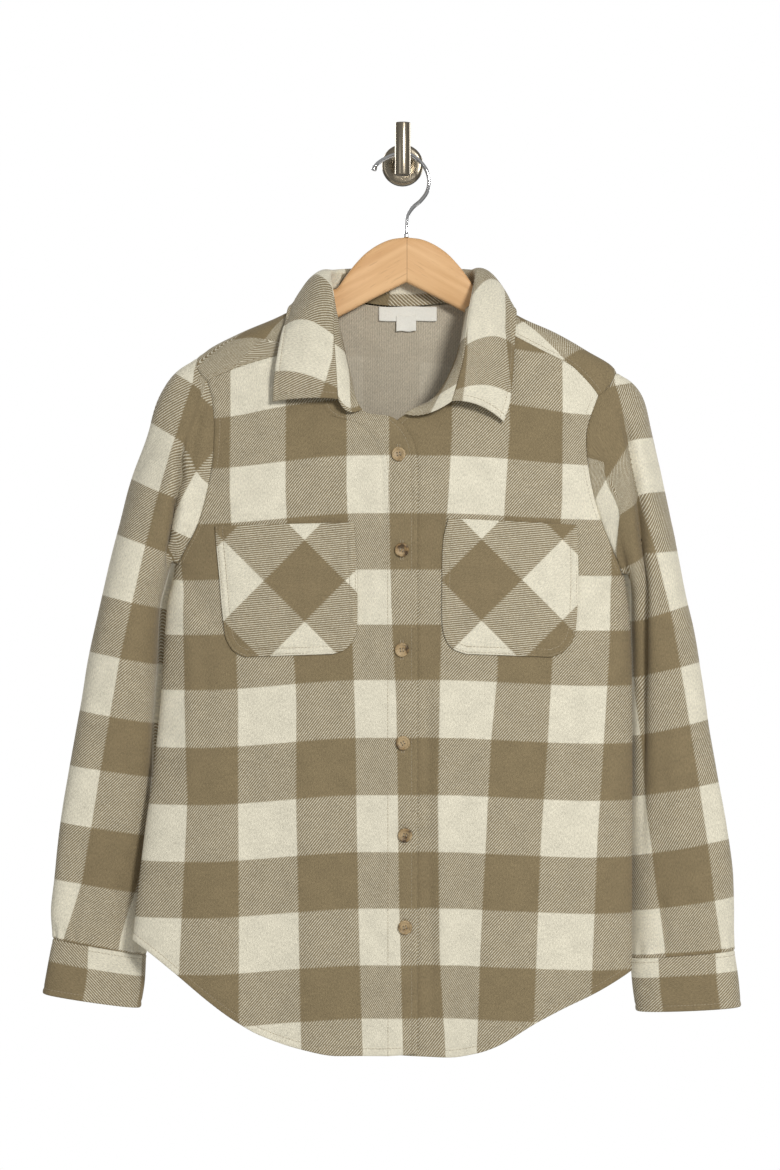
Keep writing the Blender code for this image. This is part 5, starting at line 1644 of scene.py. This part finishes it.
def buildHangerHook():
    # The bent rod with a small ball on its free end and a collar where it enters the wood.
    builder = bmesh.new()
    ring, samples = 20, 150
    route = [(x, -33.0, -drop) for x, drop in hookRoute]
    rings = []
    for step in range(samples + 1):
        t = step / samples
        here, ahead, behind = curveThrough(route, np.array([t, min(t + 0.006, 1), max(t - 0.006, 0)]))
        along = unit(ahead - behind)
        side = np.cross(along, (0, 1.0, 0))
        bead = 1.0 + 0.45 * math.sqrt(max(1 - ((t - 0.022) / 0.03) ** 2, 0))
        if t < 0.022:
            bead = 1.45 * math.sqrt(max(1 - ((t - 0.022) / 0.0235) ** 2, 0.02))
        flange = 0.35 * ease(0.955, 0.965, t)
        radius = 1.9 * (bead + flange)
        angles = np.linspace(0, 2 * math.pi, ring, endpoint=False)
        spokes = np.cos(angles)[:, None] * side + np.sin(angles)[:, None] * np.array((0, 1.0, 0))
        rings.append(here + spokes * radius)
    tubeInto(builder, rings)
    finishPiece("hanger_hook_rod", builder, (chrome,), ["hanger_hook"])


def buildWallHook():
    rosette = bmesh.new()
    profile = (
        (0, 0), (19.6, 0), (20, -0.4), (20, -6.6), (19.8, -7.6), (19.3, -8.5), (18.5, -9.3), (17.5, -9.8),
        (16.4, -10), (6.4, -10), (6.0, -9.7), (0, -9.7),
    )
    spinProfile(rosette, [(r, y, 0) for r, y in profile], (0, 1, 0), 96)
    plate = finishPiece("wall_rosette_plate", rosette, (nickel,), ["wall_rosette"])
    plate.data.set_sharp_from_angle(angle=math.radians(40))
    peg = bmesh.new()
    stem = ((0, -9.9), (5.3, -9.9), (5.3, -50.0), (0, -50.0))
    spinProfile(peg, [(r, y, 0) for r, y in stem], (0, 1, 0), 40)
    bar = bmesh.new()
    profile = (
        (0, -16), (6.7, -16), (7.1, -15.85), (7.4, -15.5), (7.5, -15.1),
        (7.5, 33.1), (7.4, 33.5), (7.1, 33.85), (6.7, 34), (0, 34),
    )
    spinProfile(bar, [(r, 0, z) for r, z in profile], (0, 0, 1), 56)
    bmesh.ops.translate(bar, vec=(0, -55.0, 0), verts=bar.verts)
    joinInto(peg, bar)
    hook = finishPiece("hook_post_and_bar", peg, (nickel,), ["hook_peg"])
    hook.data.set_sharp_from_angle(angle=math.radians(40))


print("buttons, labels, hanger and hook")
for number, (x, drop) in enumerate(buttonPlaces, start=1):
    buildButton(number, x, drop)
buildLabel("neck_label", -23, 33, 138, 152, 1.9)
buildLabel("size_tab", -6, 13, 147, 162, 3.4)
buildHanger()
buildHangerHook()
buildWallHook()

# Camera, lights and floor


def addLight(name, place, aim, size, power):
    data = bpy.data.lights.new(name, "AREA")
    data.shape = "RECTANGLE"
    data.size, data.size_y = size
    data.energy = power
    lamp = bpy.data.objects.new(name, data)
    lamp.location = place
    towards = Vector(aim) - Vector(place)
    lamp.rotation_euler = towards.to_track_quat("-Z", "Y").to_euler()
    bpy.context.collection.objects.link(lamp)


print("camera and lights")
cameraData = bpy.data.cameras.new("photo_camera")
cameraData.sensor_width = 36.0
cameraData.lens = 97.17
camera = bpy.data.objects.new("photo_camera", cameraData)
camera.location = (-0.0121, -3.06, -0.406)
camera.rotation_euler = (math.pi / 2, 0, 0)
bpy.context.collection.objects.link(camera)
bpy.context.scene.camera = camera

addLight("key", (1.05, -2.75, 0.5), (0, 0, -0.42), (0.55, 0.55), 58)
addLight("fill", (-1.9, -2.2, -0.3), (0, 0, -0.45), (1.2, 1.6), 5)
addLight("back_left", (-1.6, 1.9, 0.6), (0, 0, -0.45), (1.4, 1.4), 30)
addLight("back_right", (1.7, 1.8, 0.2), (0, 0, -0.45), (1.4, 1.4), 22)

# The room is white to the camera. The light it gives is dimmer, and brightest from the front.
room = {"level": 0.25, "towards back": -0.10, "upwards": 0.08}
world = bpy.data.worlds.new("studio")
world.use_nodes = True
tree = world.node_tree
glow = tree.nodes["Background"]
glow.inputs["Color"].default_value = (1.0, 1.0, 1.0, 1.0)
way = nodeAt(tree, "ShaderNodeSeparateXYZ")
tree.links.new(nodeAt(tree, "ShaderNodeTexCoord").outputs["Generated"], way.inputs[0])
level = plus(tree, times(tree, way.outputs[1], room["towards back"]), room["level"])
level = plus(tree, times(tree, way.outputs[2], room["upwards"]), level)
tree.links.new(level, glow.inputs["Strength"])
backdrop = nodeAt(tree, "ShaderNodeBackground")
backdrop.inputs["Color"].default_value = (1.0, 1.0, 1.0, 1.0)
chooser = nodeAt(tree, "ShaderNodeMixShader")
tree.links.new(nodeAt(tree, "ShaderNodeLightPath").outputs["Is Camera Ray"], chooser.inputs[0])
tree.links.new(glow.outputs[0], chooser.inputs[1])
tree.links.new(backdrop.outputs[0], chooser.inputs[2])
tree.links.new(chooser.outputs[0], tree.nodes["World Output"].inputs["Surface"])
bpy.context.scene.world = world
bpy.context.scene.view_settings.view_transform = "Standard"

floorMesh = bmesh.new()
bmesh.ops.create_grid(floorMesh, x_segments=8, y_segments=8, size=1.6)
bmesh.ops.translate(floorMesh, vec=(0, 0, -1.6), verts=floorMesh.verts)
floor = objectFrom("floor", floorMesh)
floorMaterial, floorTree, floorShader = startMaterial("pale_floor", 0.8)
floorCloud = noiseNode(floorTree, objectPlace(floorTree), 3.0)
floorColour = mixColours(floorTree, floorCloud, (0.80, 0.80, 0.79), (0.84, 0.84, 0.83))
floorTree.links.new(floorColour, floorShader.inputs["Base Color"])
floor.data.materials.append(floorMaterial)
